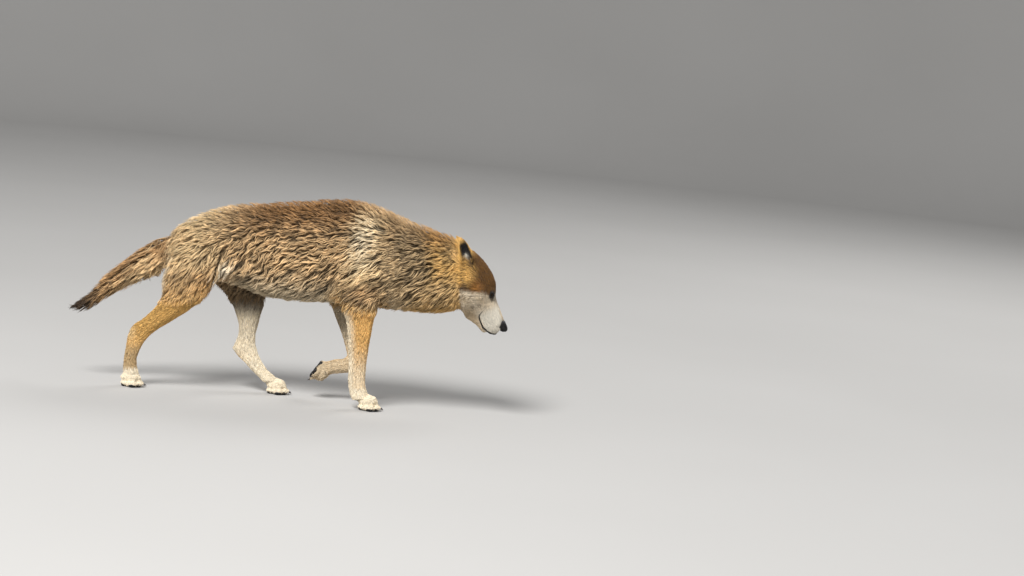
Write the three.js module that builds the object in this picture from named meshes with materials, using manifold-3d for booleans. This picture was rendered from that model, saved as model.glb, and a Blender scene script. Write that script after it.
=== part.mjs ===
// A grey wolf of the high plains, walking with its head low, one forefoot lifted and the tail trailing.
// The solids reach out to the tips of the coat. Millimetres, +X to the nose, +Y to the wolf's left, +Z up.
// While the wolf is modelled, X is measured from the right hind foot, Y from the body's midline.

import * as THREE from 'three';
import { mergeVertices } from 'three/addons/utils/BufferGeometryUtils.js';
import Module from 'manifold-3d';

const wasm = await Module();
wasm.setup();

// ---- Driving dimensions ----

const CUT = 0.6;                 // width of the thin cuts that part the body
const CLEARANCE = 0.3;           // gap round an eye, the nose, a claw, the jaw and an ear
const FAR = 3000;                // reach of the blocks that cut the body
const WELD = 1e-4;               // vertices nearer than this are one
// How finely each shape is faceted: divisions round it, and from end to end.
const MESH = {
  torso: [22, 25], head: [20, 16], jaw: [10, 7], nose: [10, 6], tail: [11, 11], leg: [10, 16],
  eye: [8, 6], ear: [10, 7], pad: [8, 5], toe: [6, 5], claw: [5, 4],
};

const OVAL = 0.92;               // below 1 squares a section's corners a little
const SUNK = 2.5;                // how far a foot's underside is flattened by the floor

const RIGHT = -1;
const LEFT = 1;
const sideName = (side) => (side === RIGHT ? 'right' : 'left');

const RIGHT_HIND_Y = -62;        // middle of each foot, across the body
const RIGHT_FORE_Y = -58;
const LEFT_HIND_Y = 82;
const LEFT_FORE_Y = 64;

const HEAD_PITCH = THREE.MathUtils.degToRad(62);   // the bridge of the nose below level
const NOSE_TIP = { x: 1247, z: 322 };
const SKULL = {
  eyeBack: 134, eyeDown: 5, eyeOut: 34, eyeRadius: 11.5,
  earBack: 258, earDown: 38, earOut: 68,
};
// buried is the share of an ear's length inside the head, forward how much its hollow faces ahead for each
// part that it faces out, and base and full shape the swell of the leaf from its tip to its root.
const EAR = {
  length: 96, width: 50, depth: 33, shell: 4.5, scoop: 10, buried: 0.2, forward: 0.3, base: 0.12, full: 0.75,
  tip: { right: { rise: 18, out: 14 }, left: { rise: -8, out: 28 } },   // the left ear is laid further out
};

// length, width and height are half sizes of one toe; spread is each toe's place across the foot, in toe
// widths, and setback how far each falls behind the two middle ones.
const TOE = {
  length: 25, width: 12.5, height: 15, splay: 0.07,
  spread: [-1.55, -0.53, 0.53, 1.55], setback: [17, 0, 0, 17],
};
const PAW = {
  pad: { halves: [27, 25, 14], back: 34, up: 11.5 },      // the main pad, behind the toes
  dome: { halves: [38, 27, 26], back: 24, up: 31 },       // knuckles and instep
};
// thin is what the claw loses of its thickness by the tip, slim its width for each part of its height.
const CLAW = { length: 17, root: 3.8, droop: 9, buried: 9, thin: 0.8, slim: 0.7, steps: [0, 0.35, 0.7, 1] };
// The dewclaw's toe on the inner side of a forefoot, its sizes as shares of the other toes'.
const DEWCLAW = { pitch: THREE.MathUtils.degToRad(55), back: 44, inward: 25, up: 60, toe: 0.6, claw: 0.7 };

const COLOUR = {
  coat: 0xa88a64, mane: 0xb79a6c, face: 0xb9a68c, paleLeg: 0xd8cbb2, tawnyLeg: 0xc09a62,
  tail: 0x8f7352, nose: 0x1c1a1a, eye: 0x6b4a1c, claw: 0x3a332c,
};

// ---- The stations that each length of the body passes through ----
// top and under (front and rear on a leg) are [x, z] points on the outline, half is half the width there,
// and heavy is above 0 where the section is wider towards its first point, below 0 towards its second.

const TORSO = [
  { top: [62, 534], under: [72, 436], half: 32, heavy: 0 },          // root of the tail
  { top: [100, 562], under: [92, 402], half: 64, heavy: 0 },
  { top: [150, 596], under: [140, 386], half: 88, heavy: 0.04 },     // haunches
  { top: [215, 630], under: [215, 384], half: 106, heavy: 0.04 },
  { top: [295, 653], under: [300, 378], half: 114, heavy: 0.02 },    // hips
  { top: [385, 667], under: [395, 350], half: 113, heavy: 0 },
  { top: [480, 682], under: [480, 338], half: 119, heavy: -0.04 },   // loin and belly
  { top: [570, 696], under: [570, 340], half: 129, heavy: -0.05 },
  { top: [650, 708], under: [660, 343], half: 138, heavy: -0.04 },   // ribs
  { top: [725, 706], under: [745, 346], half: 140, heavy: -0.02 },   // withers
  { top: [795, 688], under: [835, 346], half: 134, heavy: 0 },
  { top: [870, 665], under: [915, 341], half: 122, heavy: 0 },       // mane
  { top: [945, 642], under: [985, 343], half: 108, heavy: 0 },
  { top: [1010, 627], under: [1045, 352], half: 96, heavy: 0 },
  { top: [1060, 609], under: [1092, 366], half: 84, heavy: 0 },      // nape
  { top: [1098, 560], under: [1112, 400], half: 62, heavy: 0 },
];

const TAIL = [
  { top: [120, 556], under: [98, 430], half: 34, heavy: 0 },
  { top: [58, 530], under: [50, 370], half: 42, heavy: 0 },
  { top: [-2, 486], under: [-14, 346], half: 50, heavy: 0 },
  { top: [-62, 434], under: [-70, 314], half: 50, heavy: 0 },
  { top: [-124, 372], under: [-122, 280], half: 42, heavy: 0 },
  { top: [-170, 302], under: [-170, 252], half: 28, heavy: 0 },
  { top: [-208, 268], under: [-208, 240], half: 16, heavy: 0 },
  { top: [-232, 250], under: [-232, 244], half: 4, heavy: 0 },
];

// Head stations are [back, up]: back from the tip of the nose along the bridge, up from the bridge.
const HEAD = [
  { top: [3, -4], under: [-3, -30], half: 12, heavy: 0 },
  { top: [9, 0], under: [-4, -50], half: 23, heavy: -0.05 },
  { top: [26, 1], under: [13, -71], half: 29, heavy: -0.12 },        // upper lips
  { top: [50, 2], under: [38, -80], half: 32, heavy: -0.16 },
  { top: [76, 3], under: [62, -84], half: 36, heavy: -0.16 },
  { top: [99, 4], under: [80, -96], half: 42, heavy: -0.12 },        // corner of the mouth
  { top: [119, 9], under: [90, -110], half: 50, heavy: -0.08 },      // stop
  { top: [137, 19], under: [98, -120], half: 60, heavy: -0.06 },     // brow
  { top: [160, 27], under: [106, -127], half: 70, heavy: -0.1 },
  { top: [192, 29], under: [112, -131], half: 80, heavy: -0.14 },    // forehead and cheek
  { top: [228, 25], under: [118, -134], half: 88, heavy: -0.14 },
  { top: [266, 12], under: [122, -136], half: 93, heavy: -0.1 },     // crown and ruff
  { top: [304, -10], under: [122, -136], half: 92, heavy: -0.04 },
  { top: [336, -40], under: [120, -132], half: 80, heavy: 0 },
];

const JAW = [
  { top: [14, -60], under: [8, -74], half: 9, heavy: 0 },
  { top: [24, -56], under: [18, -84], half: 17, heavy: 0 },          // chin
  { top: [52, -52], under: [44, -92], half: 21, heavy: 0 },
  { top: [84, -56], under: [68, -106], half: 27, heavy: 0 },
  { top: [112, -66], under: [92, -121], half: 34, heavy: 0 },        // angle of the jaw
  { top: [126, -84], under: [106, -114], half: 30, heavy: 0 },
];

const NOSE = [
  { top: [30, -1], under: [24, -14], half: 8, heavy: 0 },
  { top: [20, 3], under: [12, -18], half: 14, heavy: 0 },
  { top: [8, 3], under: [-2, -24], half: 18, heavy: 0.1 },
  { top: [-1, -1], under: [-8, -22], half: 16, heavy: 0.1 },
  { top: [-6, -7], under: [-9, -16], half: 7, heavy: 0 },
];

// Leg stations are front and rear points, from the body down to the foot.
const RIGHT_HIND = [
  { front: [292, 566], rear: [110, 546], half: 30, heavy: 0, y: -52 },
  { front: [296, 506], rear: [88, 480], half: 48, heavy: 0, y: -62 },   // thigh
  { front: [282, 430], rear: [78, 410], half: 54, heavy: 0, y: -68 },
  { front: [256, 378], rear: [74, 360], half: 50, heavy: 0, y: -69 },
  { front: [228, 332], rear: [74, 312], half: 44, heavy: 0, y: -69 },   // stifle
  { front: [180, 284], rear: [46, 270], half: 36, heavy: 0, y: -68 },
  { front: [124, 240], rear: [14, 236], half: 29, heavy: 0.1, y: -67 },  // shank
  { front: [71, 200], rear: [-15, 214], half: 24, heavy: 0.1, y: -66 },
  { front: [39, 168], rear: [-29, 180], half: 23, heavy: 0, y: -65 },   // hock
  { front: [19, 130], rear: [-33, 138], half: 21, heavy: 0, y: -64 },
  { front: [9, 90], rear: [-37, 92], half: 20, heavy: 0, y: -63 },     // metatarsus
  { front: [17, 60], rear: [-37, 50], half: 23, heavy: 0, y: -62 },
  { front: [25, 30], rear: [-31, 20], half: 25, heavy: 0, y: -62 },
];

const LEFT_HIND = [
  { front: [340, 560], rear: [130, 550], half: 30, heavy: 0, y: 52 },
  { front: [376, 476], rear: [150, 460], half: 48, heavy: 0, y: 64 },   // thigh
  { front: [412, 392], rear: [222, 376], half: 54, heavy: 0, y: 75 },
  { front: [412, 330], rear: [284, 316], half: 46, heavy: 0, y: 78 },   // stifle
  { front: [404, 280], rear: [310, 266], half: 36, heavy: 0, y: 80 },
  { front: [395, 228], rear: [326, 218], half: 28, heavy: 0, y: 81 },   // shank
  { front: [390, 186], rear: [322, 176], half: 24, heavy: 0, y: 82 },
  { front: [398, 148], rear: [309, 140], half: 23, heavy: 0, y: 82 },   // hock
  { front: [416, 112], rear: [350, 104], half: 21, heavy: 0, y: 82 },
  { front: [442, 78], rear: [386, 70], half: 21, heavy: 0, y: 82 },     // metatarsus
  { front: [472, 58], rear: [418, 44], half: 24, heavy: 0, y: 82 },
  { front: [492, 34], rear: [436, 20], half: 25, heavy: 0, y: 82 },
];

const RIGHT_FORE = [
  { front: [868, 570], rear: [716, 570], half: 32, heavy: 0, y: -66 },
  { front: [856, 488], rear: [694, 480], half: 40, heavy: 0, y: -76 },  // upper arm
  { front: [834, 416], rear: [680, 402], half: 41, heavy: 0, y: -78 },
  { front: [812, 362], rear: [684, 346], half: 38, heavy: 0, y: -78 },  // elbow
  { front: [801, 318], rear: [698, 310], half: 32, heavy: 0.1, y: -74 },
  { front: [796, 268], rear: [709, 266], half: 28, heavy: 0.1, y: -70 }, // forearm
  { front: [791, 212], rear: [717, 212], half: 25, heavy: 0.1, y: -66 },
  { front: [788, 160], rear: [723, 158], half: 24, heavy: 0, y: -62 },  // wrist
  { front: [788, 118], rear: [725, 112], half: 23, heavy: 0, y: -60 },
  { front: [791, 82], rear: [730, 72], half: 22, heavy: 0, y: -59 },    // pastern
  { front: [801, 56], rear: [742, 38], half: 25, heavy: 0, y: -58 },
  { front: [807, 32], rear: [757, 16], half: 26, heavy: 0, y: -58 },
];

const LEFT_FORE = [
  { front: [800, 550], rear: [640, 560], half: 32, heavy: 0, y: 66 },
  { front: [772, 464], rear: [624, 474], half: 40, heavy: 0, y: 74 },   // upper arm
  { front: [748, 396], rear: [618, 398], half: 41, heavy: 0, y: 76 },
  { front: [734, 346], rear: [634, 334], half: 38, heavy: 0, y: 74 },   // elbow
  { front: [738, 298], rear: [656, 284], half: 31, heavy: 0.1, y: 71 },
  { front: [748, 246], rear: [680, 234], half: 27, heavy: 0.1, y: 69 }, // forearm
  { front: [758, 196], rear: [700, 186], half: 24, heavy: 0, y: 67 },
  { front: [766, 152], rear: [706, 156], half: 24, heavy: 0, y: 66 },   // wrist
  { front: [744, 108], rear: [694, 150], half: 23, heavy: 0, y: 65 },
  { front: [696, 96], rear: [670, 146], half: 22, heavy: 0, y: 64 },    // pastern
  { front: [658, 88], rear: [640, 134], half: 23, heavy: 0, y: 64 },
  { front: [636, 76], rear: [614, 122], half: 25, heavy: 0, y: 64 },
  { front: [624, 68], rear: [602, 112], half: 22, heavy: 0, y: 64 },
];

// ---- Turning geometry into solids and solids into meshes ----

function toSolid(geometry) {
  geometry.deleteAttribute('normal');
  geometry.deleteAttribute('uv');
  const welded = mergeVertices(geometry, WELD);
  const mesh = new wasm.Mesh({
    numProp: 3,
    vertProperties: new Float32Array(welded.attributes.position.array),
    triVerts: new Uint32Array(welded.index.array),
  });
  return new wasm.Manifold(mesh);
}

function join(solids) {
  return solids.reduce((whole, piece) => whole.add(piece));
}

function carve(solid, tools) {
  return tools.reduce((left, tool) => left.subtract(tool), solid);
}

function toMesh(name, solid, colour, roughness = 0.9) {
  const { numProp, vertProperties, triVerts } = solid.getMesh();
  const places = new Float32Array((vertProperties.length / numProp) * 3);
  for (let i = 0; i < places.length / 3; i++) {
    places.set(vertProperties.subarray(i * numProp, i * numProp + 3), i * 3);
  }
  const geometry = new THREE.BufferGeometry();
  geometry.setAttribute('position', new THREE.BufferAttribute(places, 3));
  geometry.setIndex(new THREE.BufferAttribute(new Uint32Array(triVerts), 1));
  geometry.computeVertexNormals();
  const material = new THREE.MeshStandardMaterial({ color: colour, roughness, metalness: 0 });
  const mesh = new THREE.Mesh(geometry, material);
  mesh.name = name;
  return mesh;
}

// ---- Lofts ----

const power = (value, exponent) => Math.sign(value) * Math.abs(value) ** exponent;

// A closed body through the stations, each an oval from its first point to its second. A sphere's rows of
// vertices become the rings, so the poles close the two ends. grow swells it, to cut a seat with a gap.
function loft(stations, [around, rings], grow = 0, matrix = new THREE.Matrix4()) {
  const at = (point, y) => new THREE.Vector3(point[0], y, point[1]);
  const first = new THREE.CatmullRomCurve3(stations.map((s) => at(s.top ?? s.front, s.y ?? 0)));
  const second = new THREE.CatmullRomCurve3(stations.map((s) => at(s.under ?? s.rear, s.y ?? 0)));
  const sizes = new THREE.CatmullRomCurve3(stations.map((s) => new THREE.Vector3(s.half, s.heavy, 0)));

  const centre = (t) => first.getPoint(t).lerp(second.getPoint(t), 0.5);
  const onward = centre(1 / rings).sub(centre(0));
  const side = first.getPoint(0).sub(second.getPoint(0)).cross(onward).y > 0 ? 1 : -1;

  const geometry = new THREE.SphereGeometry(1, around, rings);
  const place = geometry.attributes.position;
  for (let i = 0; i < place.count; i++) {
    const ring = Math.floor(i / (around + 1));
    const turn = ((i % (around + 1)) / around) * 2 * Math.PI;
    const t = ring / rings;
    const middle = centre(t);
    if (ring > 0 && ring < rings) {
      const reach = first.getPoint(t).sub(middle);
      const size = sizes.getPoint(t);
      const width = (size.x + grow) * (1 + size.y * Math.cos(turn));
      reach.setLength(reach.length() + grow);
      middle.addScaledVector(reach, power(Math.cos(turn), OVAL));
      middle.y += side * width * power(Math.sin(turn), OVAL);
    }
    place.setXYZ(i, middle.x, middle.y, middle.z);
  }
  geometry.applyMatrix4(matrix);
  return toSolid(geometry);
}

// A rounded lump: a ball of half sizes, turned and placed.
function lump(halves, matrix, divisions) {
  const geometry = new THREE.SphereGeometry(1, ...divisions);
  geometry.scale(halves.x, halves.y, halves.z);
  geometry.applyMatrix4(matrix);
  return toSolid(geometry);
}

// ---- Cuts ----

// The half of space on the side that normal points to, moved along normal by shift.
function beyond(point, normal, shift = 0) {
  const facing = new THREE.Vector3(...normal).normalize();
  const geometry = new THREE.BoxGeometry(2 * FAR, 2 * FAR, 2 * FAR);
  geometry.translate(FAR + shift, 0, 0);
  const turned = new THREE.Quaternion().setFromUnitVectors(new THREE.Vector3(1, 0, 0), facing);
  geometry.applyQuaternion(turned);
  geometry.translate(...point);
  return toSolid(geometry);
}

// A region between planes. Each plane is { point, normal }, with normal pointing into the region.
function region(planes, shift) {
  const halves = planes.map(({ point, normal }) => beyond(point, normal, shift));
  return halves.reduce((kept, half) => kept.intersect(half));
}

const inside = (solid, planes) => solid.intersect(region(planes, CUT / 2));
const outside = (solid, planes) => solid.subtract(region(planes, -CUT / 2));
const opposite = ({ point, normal }) => ({ point, normal: normal.map((n) => -n) });

// A plane across the body through two [x, z] points, facing the side that is to the right of from-to
// when the wolf is seen from its right.
function plane(from, to) {
  return { point: [from[0], 0, from[1]], normal: [to[1] - from[1], 0, from[0] - to[0]] };
}

// The cuts that part the body across, besides those of the legs.
const CUTS = {
  neckHead: plane([1062, 640], [1092, 340]),
  neckTrunk: plane([800, 720], [880, 320]),
  tailMiddle: plane([-60, 500], [0, 300]),
  tailEnd: plane([-190, 400], [-110, 220]),
};

// ---- Head ----

// A place on the head: back from the nose tip along the bridge, up from the bridge, out from the midline.
function onHead(back, up, out = 0) {
  const cos = Math.cos(HEAD_PITCH);
  const sin = Math.sin(HEAD_PITCH);
  return new THREE.Vector3(NOSE_TIP.x - back * cos + up * sin, out, NOSE_TIP.z + back * sin + up * cos);
}

function headStations(stations) {
  const turn = ([back, up]) => {
    const place = onHead(back, up);
    return [place.x, place.z];
  };
  return stations.map((s) => ({ ...s, top: turn(s.top), under: turn(s.under) }));
}

function eye(side, grow = 0) {
  const place = onHead(SKULL.eyeBack, -SKULL.eyeDown, side * SKULL.eyeOut);
  const radius = SKULL.eyeRadius + grow;
  return lump(new THREE.Vector3(radius, radius, radius), new THREE.Matrix4().setPosition(place), MESH.eye);
}

// An ear: an upright leaf with a hollow scooped from the side that faces out and a little forward.
function ear(side) {
  const { rise, out } = EAR.tip[sideName(side)];
  const root = onHead(SKULL.earBack, -SKULL.earDown, side * SKULL.earOut);
  const tip = onHead(SKULL.earBack + EAR.length, -SKULL.earDown + rise, side * (SKULL.earOut + out));
  const up = tip.clone().sub(root).normalize();
  const wide = new THREE.Vector3().crossVectors(up, new THREE.Vector3(EAR.forward, side, 0)).normalize();
  const open = new THREE.Vector3().crossVectors(wide, up);
  const leaf = earLeaf(root, [wide, open, up], 0);
  return leaf.subtract(earLeaf(root.addScaledVector(open, EAR.scoop), [wide, open, up], -EAR.shell));
}

// The leaf starts below its root, inside the head, and narrows to a rounded tip.
function earLeaf(root, axes, grow) {
  const [around, rings] = MESH.ear;
  const buried = EAR.length * EAR.buried;
  const geometry = new THREE.SphereGeometry(1, around, rings);
  const place = geometry.attributes.position;
  for (let i = 0; i < place.count; i++) {
    const t = 1 - Math.floor(i / (around + 1)) / rings;
    const turn = ((i % (around + 1)) / around) * 2 * Math.PI;
    const swell = t === 0 ? 0 : Math.sin(Math.PI * (EAR.base + (1 - EAR.base) * t)) ** EAR.full;
    const width = (EAR.width / 2 + grow) * swell;
    const depth = (EAR.depth / 2 + grow) * swell;
    const height = -buried - grow + t * (EAR.length + buried + 2 * grow);
    place.setXYZ(i, -width * Math.cos(turn), depth * Math.sin(turn), height);
  }
  geometry.applyMatrix4(new THREE.Matrix4().makeBasis(...axes).setPosition(root));
  return toSolid(geometry);
}

// ---- Feet ----

// A foot's frame: its toes point along +X, dipped about Y from level, and it rests on z = 0 of the frame.
function footFrame({ x, y, z, dip }) {
  return new THREE.Matrix4().makeRotationY(dip).setPosition(x, y, z);
}

const inFoot = (foot, x, y, z) => footFrame(foot).multiply(new THREE.Matrix4().makeTranslation(x, y, z));

function toeMatrix(foot, index) {
  const splay = new THREE.Matrix4().makeRotationZ(TOE.spread[index] * TOE.splay);
  const x = foot.reach - TOE.setback[index];
  return inFoot(foot, x, TOE.spread[index] * TOE.width, TOE.height - SUNK).multiply(splay);
}

function dewclawMatrix(foot) {
  const turn = new THREE.Matrix4().makeRotationY(DEWCLAW.pitch);
  return inFoot(foot, foot.reach - DEWCLAW.back, -foot.side * DEWCLAW.inward, DEWCLAW.up).multiply(turn);
}

function claw(matrix, length) {
  const stations = CLAW.steps.map((t) => {
    const x = TOE.length - CLAW.buried + t * length;
    const z = -CLAW.droop * t * t;
    const thick = CLAW.root * (1 - CLAW.thin * t);
    return { top: [x, z + thick], under: [x, z - thick], half: thick * CLAW.slim, heavy: 0 };
  });
  return loft(stations, MESH.claw, 0, matrix);
}

// Every toe of a foot: where it lies, how big it is and how long its claw is.
function toesOf(foot) {
  const toes = TOE.spread.map((_, index) => ({ matrix: toeMatrix(foot, index), size: 1, claw: CLAW.length }));
  const dewclaw = { matrix: dewclawMatrix(foot), size: DEWCLAW.toe, claw: CLAW.length * DEWCLAW.claw };
  return foot.dewclaw ? [...toes, dewclaw] : toes;
}

function paw(foot, grow = 0) {
  const swollen = (halves) => new THREE.Vector3(...halves).addScalar(grow);
  const toes = toesOf(foot).map(({ matrix, size }) => (
    lump(swollen([TOE.length, TOE.width * size, TOE.height * size]), matrix, MESH.toe)
  ));
  const lumps = [PAW.pad, PAW.dome].map(({ halves, back, up }) => (
    lump(swollen(halves), inFoot(foot, foot.reach - back, 0, up), MESH.pad)
  ));
  return join([...toes, ...lumps]);
}

// ---- The legs: what each is, where it bends and where its foot is ----

const across = (from, to) => ({ below: plane(from, to), above: opposite(plane(from, to)) });

const LEGS = [
  {
    side: RIGHT, end: 'hind', upper: 'thigh', lower: 'shank', stations: RIGHT_HIND,
    root: across([60, 306], [256, 326]),
    bend: across([-50, 192], [60, 158]),
    ankle: across([-60, 60], [40, 70]),
    bounds: [plane([20, 420], [330, 570]), plane([300, 700], [318, 300])],
    inner: 0,
    foot: { x: 7, y: RIGHT_HIND_Y, z: 0, dip: 0, reach: 10 },
  },
  {
    side: LEFT, end: 'hind', upper: 'thigh', lower: 'shank', stations: LEFT_HIND,
    root: across([250, 314], [450, 326]),
    bend: across([290, 168], [420, 158]),
    ankle: across([388, 54], [440, 104]),
    bounds: [plane([20, 420], [430, 590]), plane([400, 640], [426, 300])],
    inner: 0,
    foot: { x: 456, y: LEFT_HIND_Y, z: 0, dip: 0, reach: 42 },
  },
  {
    side: RIGHT, end: 'fore', upper: 'shoulder', lower: 'forearm', stations: RIGHT_FORE,
    root: across([660, 338], [840, 350]),
    bend: across([690, 134], [830, 138]),
    ankle: across([700, 70], [840, 82]),
    bounds: [plane([600, 590], [900, 590]), CUTS.neckTrunk, opposite(plane([640, 620], [668, 330]))],
    inner: 36,
    foot: { x: 786, y: RIGHT_FORE_Y, z: 0, dip: 0, reach: 40, side: RIGHT, dewclaw: true },
  },
  {
    side: LEFT, end: 'fore', upper: 'shoulder', lower: 'forearm', stations: LEFT_FORE,
    root: across([600, 330], [780, 340]),
    bend: across([680, 176], [780, 120]),
    ankle: across([636, 150], [662, 60]),
    bounds: [plane([500, 590], [900, 590]), CUTS.neckTrunk, opposite(plane([590, 620], [602, 320]))],
    inner: 36,
    foot: { x: 604, y: LEFT_FORE_Y, z: 108, dip: 2.15, reach: 20, side: LEFT, dewclaw: true },
  },
];

// bounds and inner part the top of each leg from the trunk; inner is how far from the midline it begins.
const towards = (leg) => ({ point: [0, leg.side * leg.inner, 0], normal: [0, leg.side, 0] });
const upperRegion = (leg) => [leg.root.above, towards(leg), ...leg.bounds];

function legMeshes(leg, body) {
  const whole = loft(leg.stations, MESH.leg);
  const tag = `${leg.end}_${sideName(leg.side)}`;
  const floor = region([{ point: [0, 0, 0], normal: [0, 0, -1] }], 0);
  const foot = join([inside(whole, [leg.ankle.below]), inside(paw(leg.foot), [leg.ankle.below])]);
  const seat = join([paw(leg.foot, CLEARANCE), loft(leg.stations, MESH.leg, CLEARANCE)]);
  const lower = inside(whole, [leg.root.below, leg.bend.above]);
  const instep = inside(whole, [leg.bend.below, leg.ankle.above]);
  return [
    toMesh(`${leg.upper}_${sideName(leg.side)}`, inside(body, upperRegion(leg)), COLOUR.coat),
    toMesh(`${leg.lower}_${sideName(leg.side)}`, lower, COLOUR.tawnyLeg),
    toMesh(`instep_${tag}`, instep, COLOUR.paleLeg),
    toMesh(`paw_${tag}`, foot.subtract(floor), COLOUR.paleLeg),
    ...toesOf(leg.foot).map((toe, index) => {
      const tip = claw(toe.matrix, toe.claw).subtract(seat);
      return toMesh(`claw_${tag}_${index + 1}`, tip, COLOUR.claw, 0.5);
    }),
  ];
}

// ---- Assembly ----

function tailMeshes(body) {
  const tail = loft(TAIL, MESH.tail).subtract(body);
  const lengths = [
    ['tail_root', [opposite(CUTS.tailMiddle)]],
    ['tail_middle', [CUTS.tailMiddle, opposite(CUTS.tailEnd)]],
    ['tail_tip', [CUTS.tailEnd]],
  ];
  return lengths.map(([name, planes]) => toMesh(name, inside(tail, planes), COLOUR.tail));
}

function headMeshes(body, grown) {
  const jaw = (grow) => loft(headStations(JAW), MESH.jaw, grow);
  const nose = (grow) => loft(headStations(NOSE), MESH.nose, grow);
  const seats = [jaw(CLEARANCE), nose(CLEARANCE), eye(RIGHT, CLEARANCE), eye(LEFT, CLEARANCE)];
  const head = carve(inside(body, [opposite(CUTS.neckHead)]), seats);
  const pairs = [RIGHT, LEFT].flatMap((side) => [
    toMesh(`eye_${sideName(side)}`, eye(side), COLOUR.eye, 0.2),
    toMesh(`ear_${sideName(side)}`, ear(side).subtract(grown), COLOUR.mane),
  ]);
  return [
    toMesh('head', head, COLOUR.face),
    toMesh('jaw', jaw(0).subtract(nose(CLEARANCE)), COLOUR.face),
    toMesh('nose', nose(0), COLOUR.nose, 0.4),
    ...pairs,
  ];
}

function flesh(grow = 0) {
  const uppers = LEGS.map((leg) => loft(leg.stations, MESH.leg, grow).intersect(region([leg.root.above], 0)));
  return join([loft(TORSO, MESH.torso, grow), loft(headStations(HEAD), MESH.head, grow), ...uppers]);
}

function buildWolf() {
  const body = flesh();
  const grown = flesh(CLEARANCE);
  const trunkAndHaunches = inside(body, [CUTS.neckTrunk]);
  const trunk = LEGS.reduce((left, leg) => outside(left, upperRegion(leg)), trunkAndHaunches);
  const neck = inside(body, [opposite(CUTS.neckTrunk), CUTS.neckHead]);
  const wolf = new THREE.Group();
  wolf.add(toMesh('trunk', trunk, COLOUR.coat), toMesh('neck', neck, COLOUR.mane));
  wolf.add(...headMeshes(body, grown), ...tailMeshes(grown));
  LEGS.forEach((leg) => wolf.add(...legMeshes(leg, body)));

  // The origin goes to the middle of the floor beneath the wolf.
  const middle = new THREE.Box3().setFromObject(wolf).getCenter(new THREE.Vector3());
  wolf.position.set(-middle.x, -middle.y, 0);
  return wolf;
}

export default buildWolf();
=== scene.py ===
"""A life-size wolf, walking with its head low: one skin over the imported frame, with a coat of tufts.

The skin is made from the frame's flesh nodes, drawn in by the depth of the coat. It carries, as attributes,
which way the hair lies, how long it is and what colour it is, and Geometry Nodes grow the coat from them.
Metres, +X to the nose, +Y to the wolf's left, +Z up.
"""

import math

import bmesh
import bpy
import numpy as np
from bpy.props import FloatProperty, FloatVectorProperty, IntProperty, PointerProperty
from bpy.types import Operator, Panel, PropertyGroup
from mathutils import Matrix, Vector
from mathutils.bvhtree import BVHTree


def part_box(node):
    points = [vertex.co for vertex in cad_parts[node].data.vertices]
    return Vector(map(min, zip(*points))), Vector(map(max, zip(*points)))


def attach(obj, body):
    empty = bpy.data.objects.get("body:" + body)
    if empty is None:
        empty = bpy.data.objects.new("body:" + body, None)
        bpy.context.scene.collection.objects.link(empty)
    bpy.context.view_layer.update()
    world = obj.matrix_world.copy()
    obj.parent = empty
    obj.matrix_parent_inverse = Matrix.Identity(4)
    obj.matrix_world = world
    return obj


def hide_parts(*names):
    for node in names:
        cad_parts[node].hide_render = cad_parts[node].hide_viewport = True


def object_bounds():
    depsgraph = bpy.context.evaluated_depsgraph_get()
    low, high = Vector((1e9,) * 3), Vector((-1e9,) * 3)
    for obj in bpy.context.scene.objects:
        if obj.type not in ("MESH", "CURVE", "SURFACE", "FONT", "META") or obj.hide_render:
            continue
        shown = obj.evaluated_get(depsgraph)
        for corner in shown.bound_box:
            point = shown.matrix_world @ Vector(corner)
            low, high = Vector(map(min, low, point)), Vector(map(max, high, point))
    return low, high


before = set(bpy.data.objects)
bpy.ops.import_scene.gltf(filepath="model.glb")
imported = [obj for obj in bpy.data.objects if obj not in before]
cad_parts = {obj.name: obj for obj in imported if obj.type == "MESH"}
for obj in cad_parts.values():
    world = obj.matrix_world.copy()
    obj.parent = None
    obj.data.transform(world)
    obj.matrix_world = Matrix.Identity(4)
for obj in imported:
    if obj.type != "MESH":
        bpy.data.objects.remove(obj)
CAD_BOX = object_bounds()

bl_info = {
    "name": "Walking wolf",
    "version": (1, 0, 0),
    "blender": (4, 5, 0),
    "location": "3D View > Sidebar > Wolf",
    "description": "A life-size wolf with a coat of solid tufts, over a packed frame",
    "category": "Object",
}

RIGHT, LEFT = -1, 1
SIDE_NAMES = {RIGHT: "right", LEFT: "left"}
ALONG_X, ALONG_Y, ALONG_Z = np.eye(3)

# The frame's nodes. A leg's run from the body down, and nodes of one kind share one sort of coat.
LEGS = {
    "hind_right": ("thigh_right", "shank_right", "instep_hind_right", "paw_hind_right"),
    "hind_left": ("thigh_left", "shank_left", "instep_hind_left", "paw_hind_left"),
    "fore_right": ("shoulder_right", "forearm_right", "instep_fore_right", "paw_fore_right"),
    "fore_left": ("shoulder_left", "forearm_left", "instep_fore_left", "paw_fore_left"),
}
TAIL = ("tail_root", "tail_middle", "tail_tip")
FLESH = sorted(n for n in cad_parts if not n.startswith(("eye", "claw")))
KIND_OF = {"head": "head", "jaw": "muzzle", "nose": "muzzle", "neck": "neck", "trunk": "trunk"}
KIND_OF |= {n: "tail" for n in TAIL} | {n: "ear" for n in ("ear_right", "ear_left")}
for upper, lower, instep, paw in LEGS.values():
    KIND_OF |= {upper: upper.split("_")[0], lower: "limb", instep: "instep", paw: "paw"}
FLESH_NAMES = np.array(FLESH)
FLESH_KINDS = np.array([KIND_OF[name] for name in FLESH])

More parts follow.
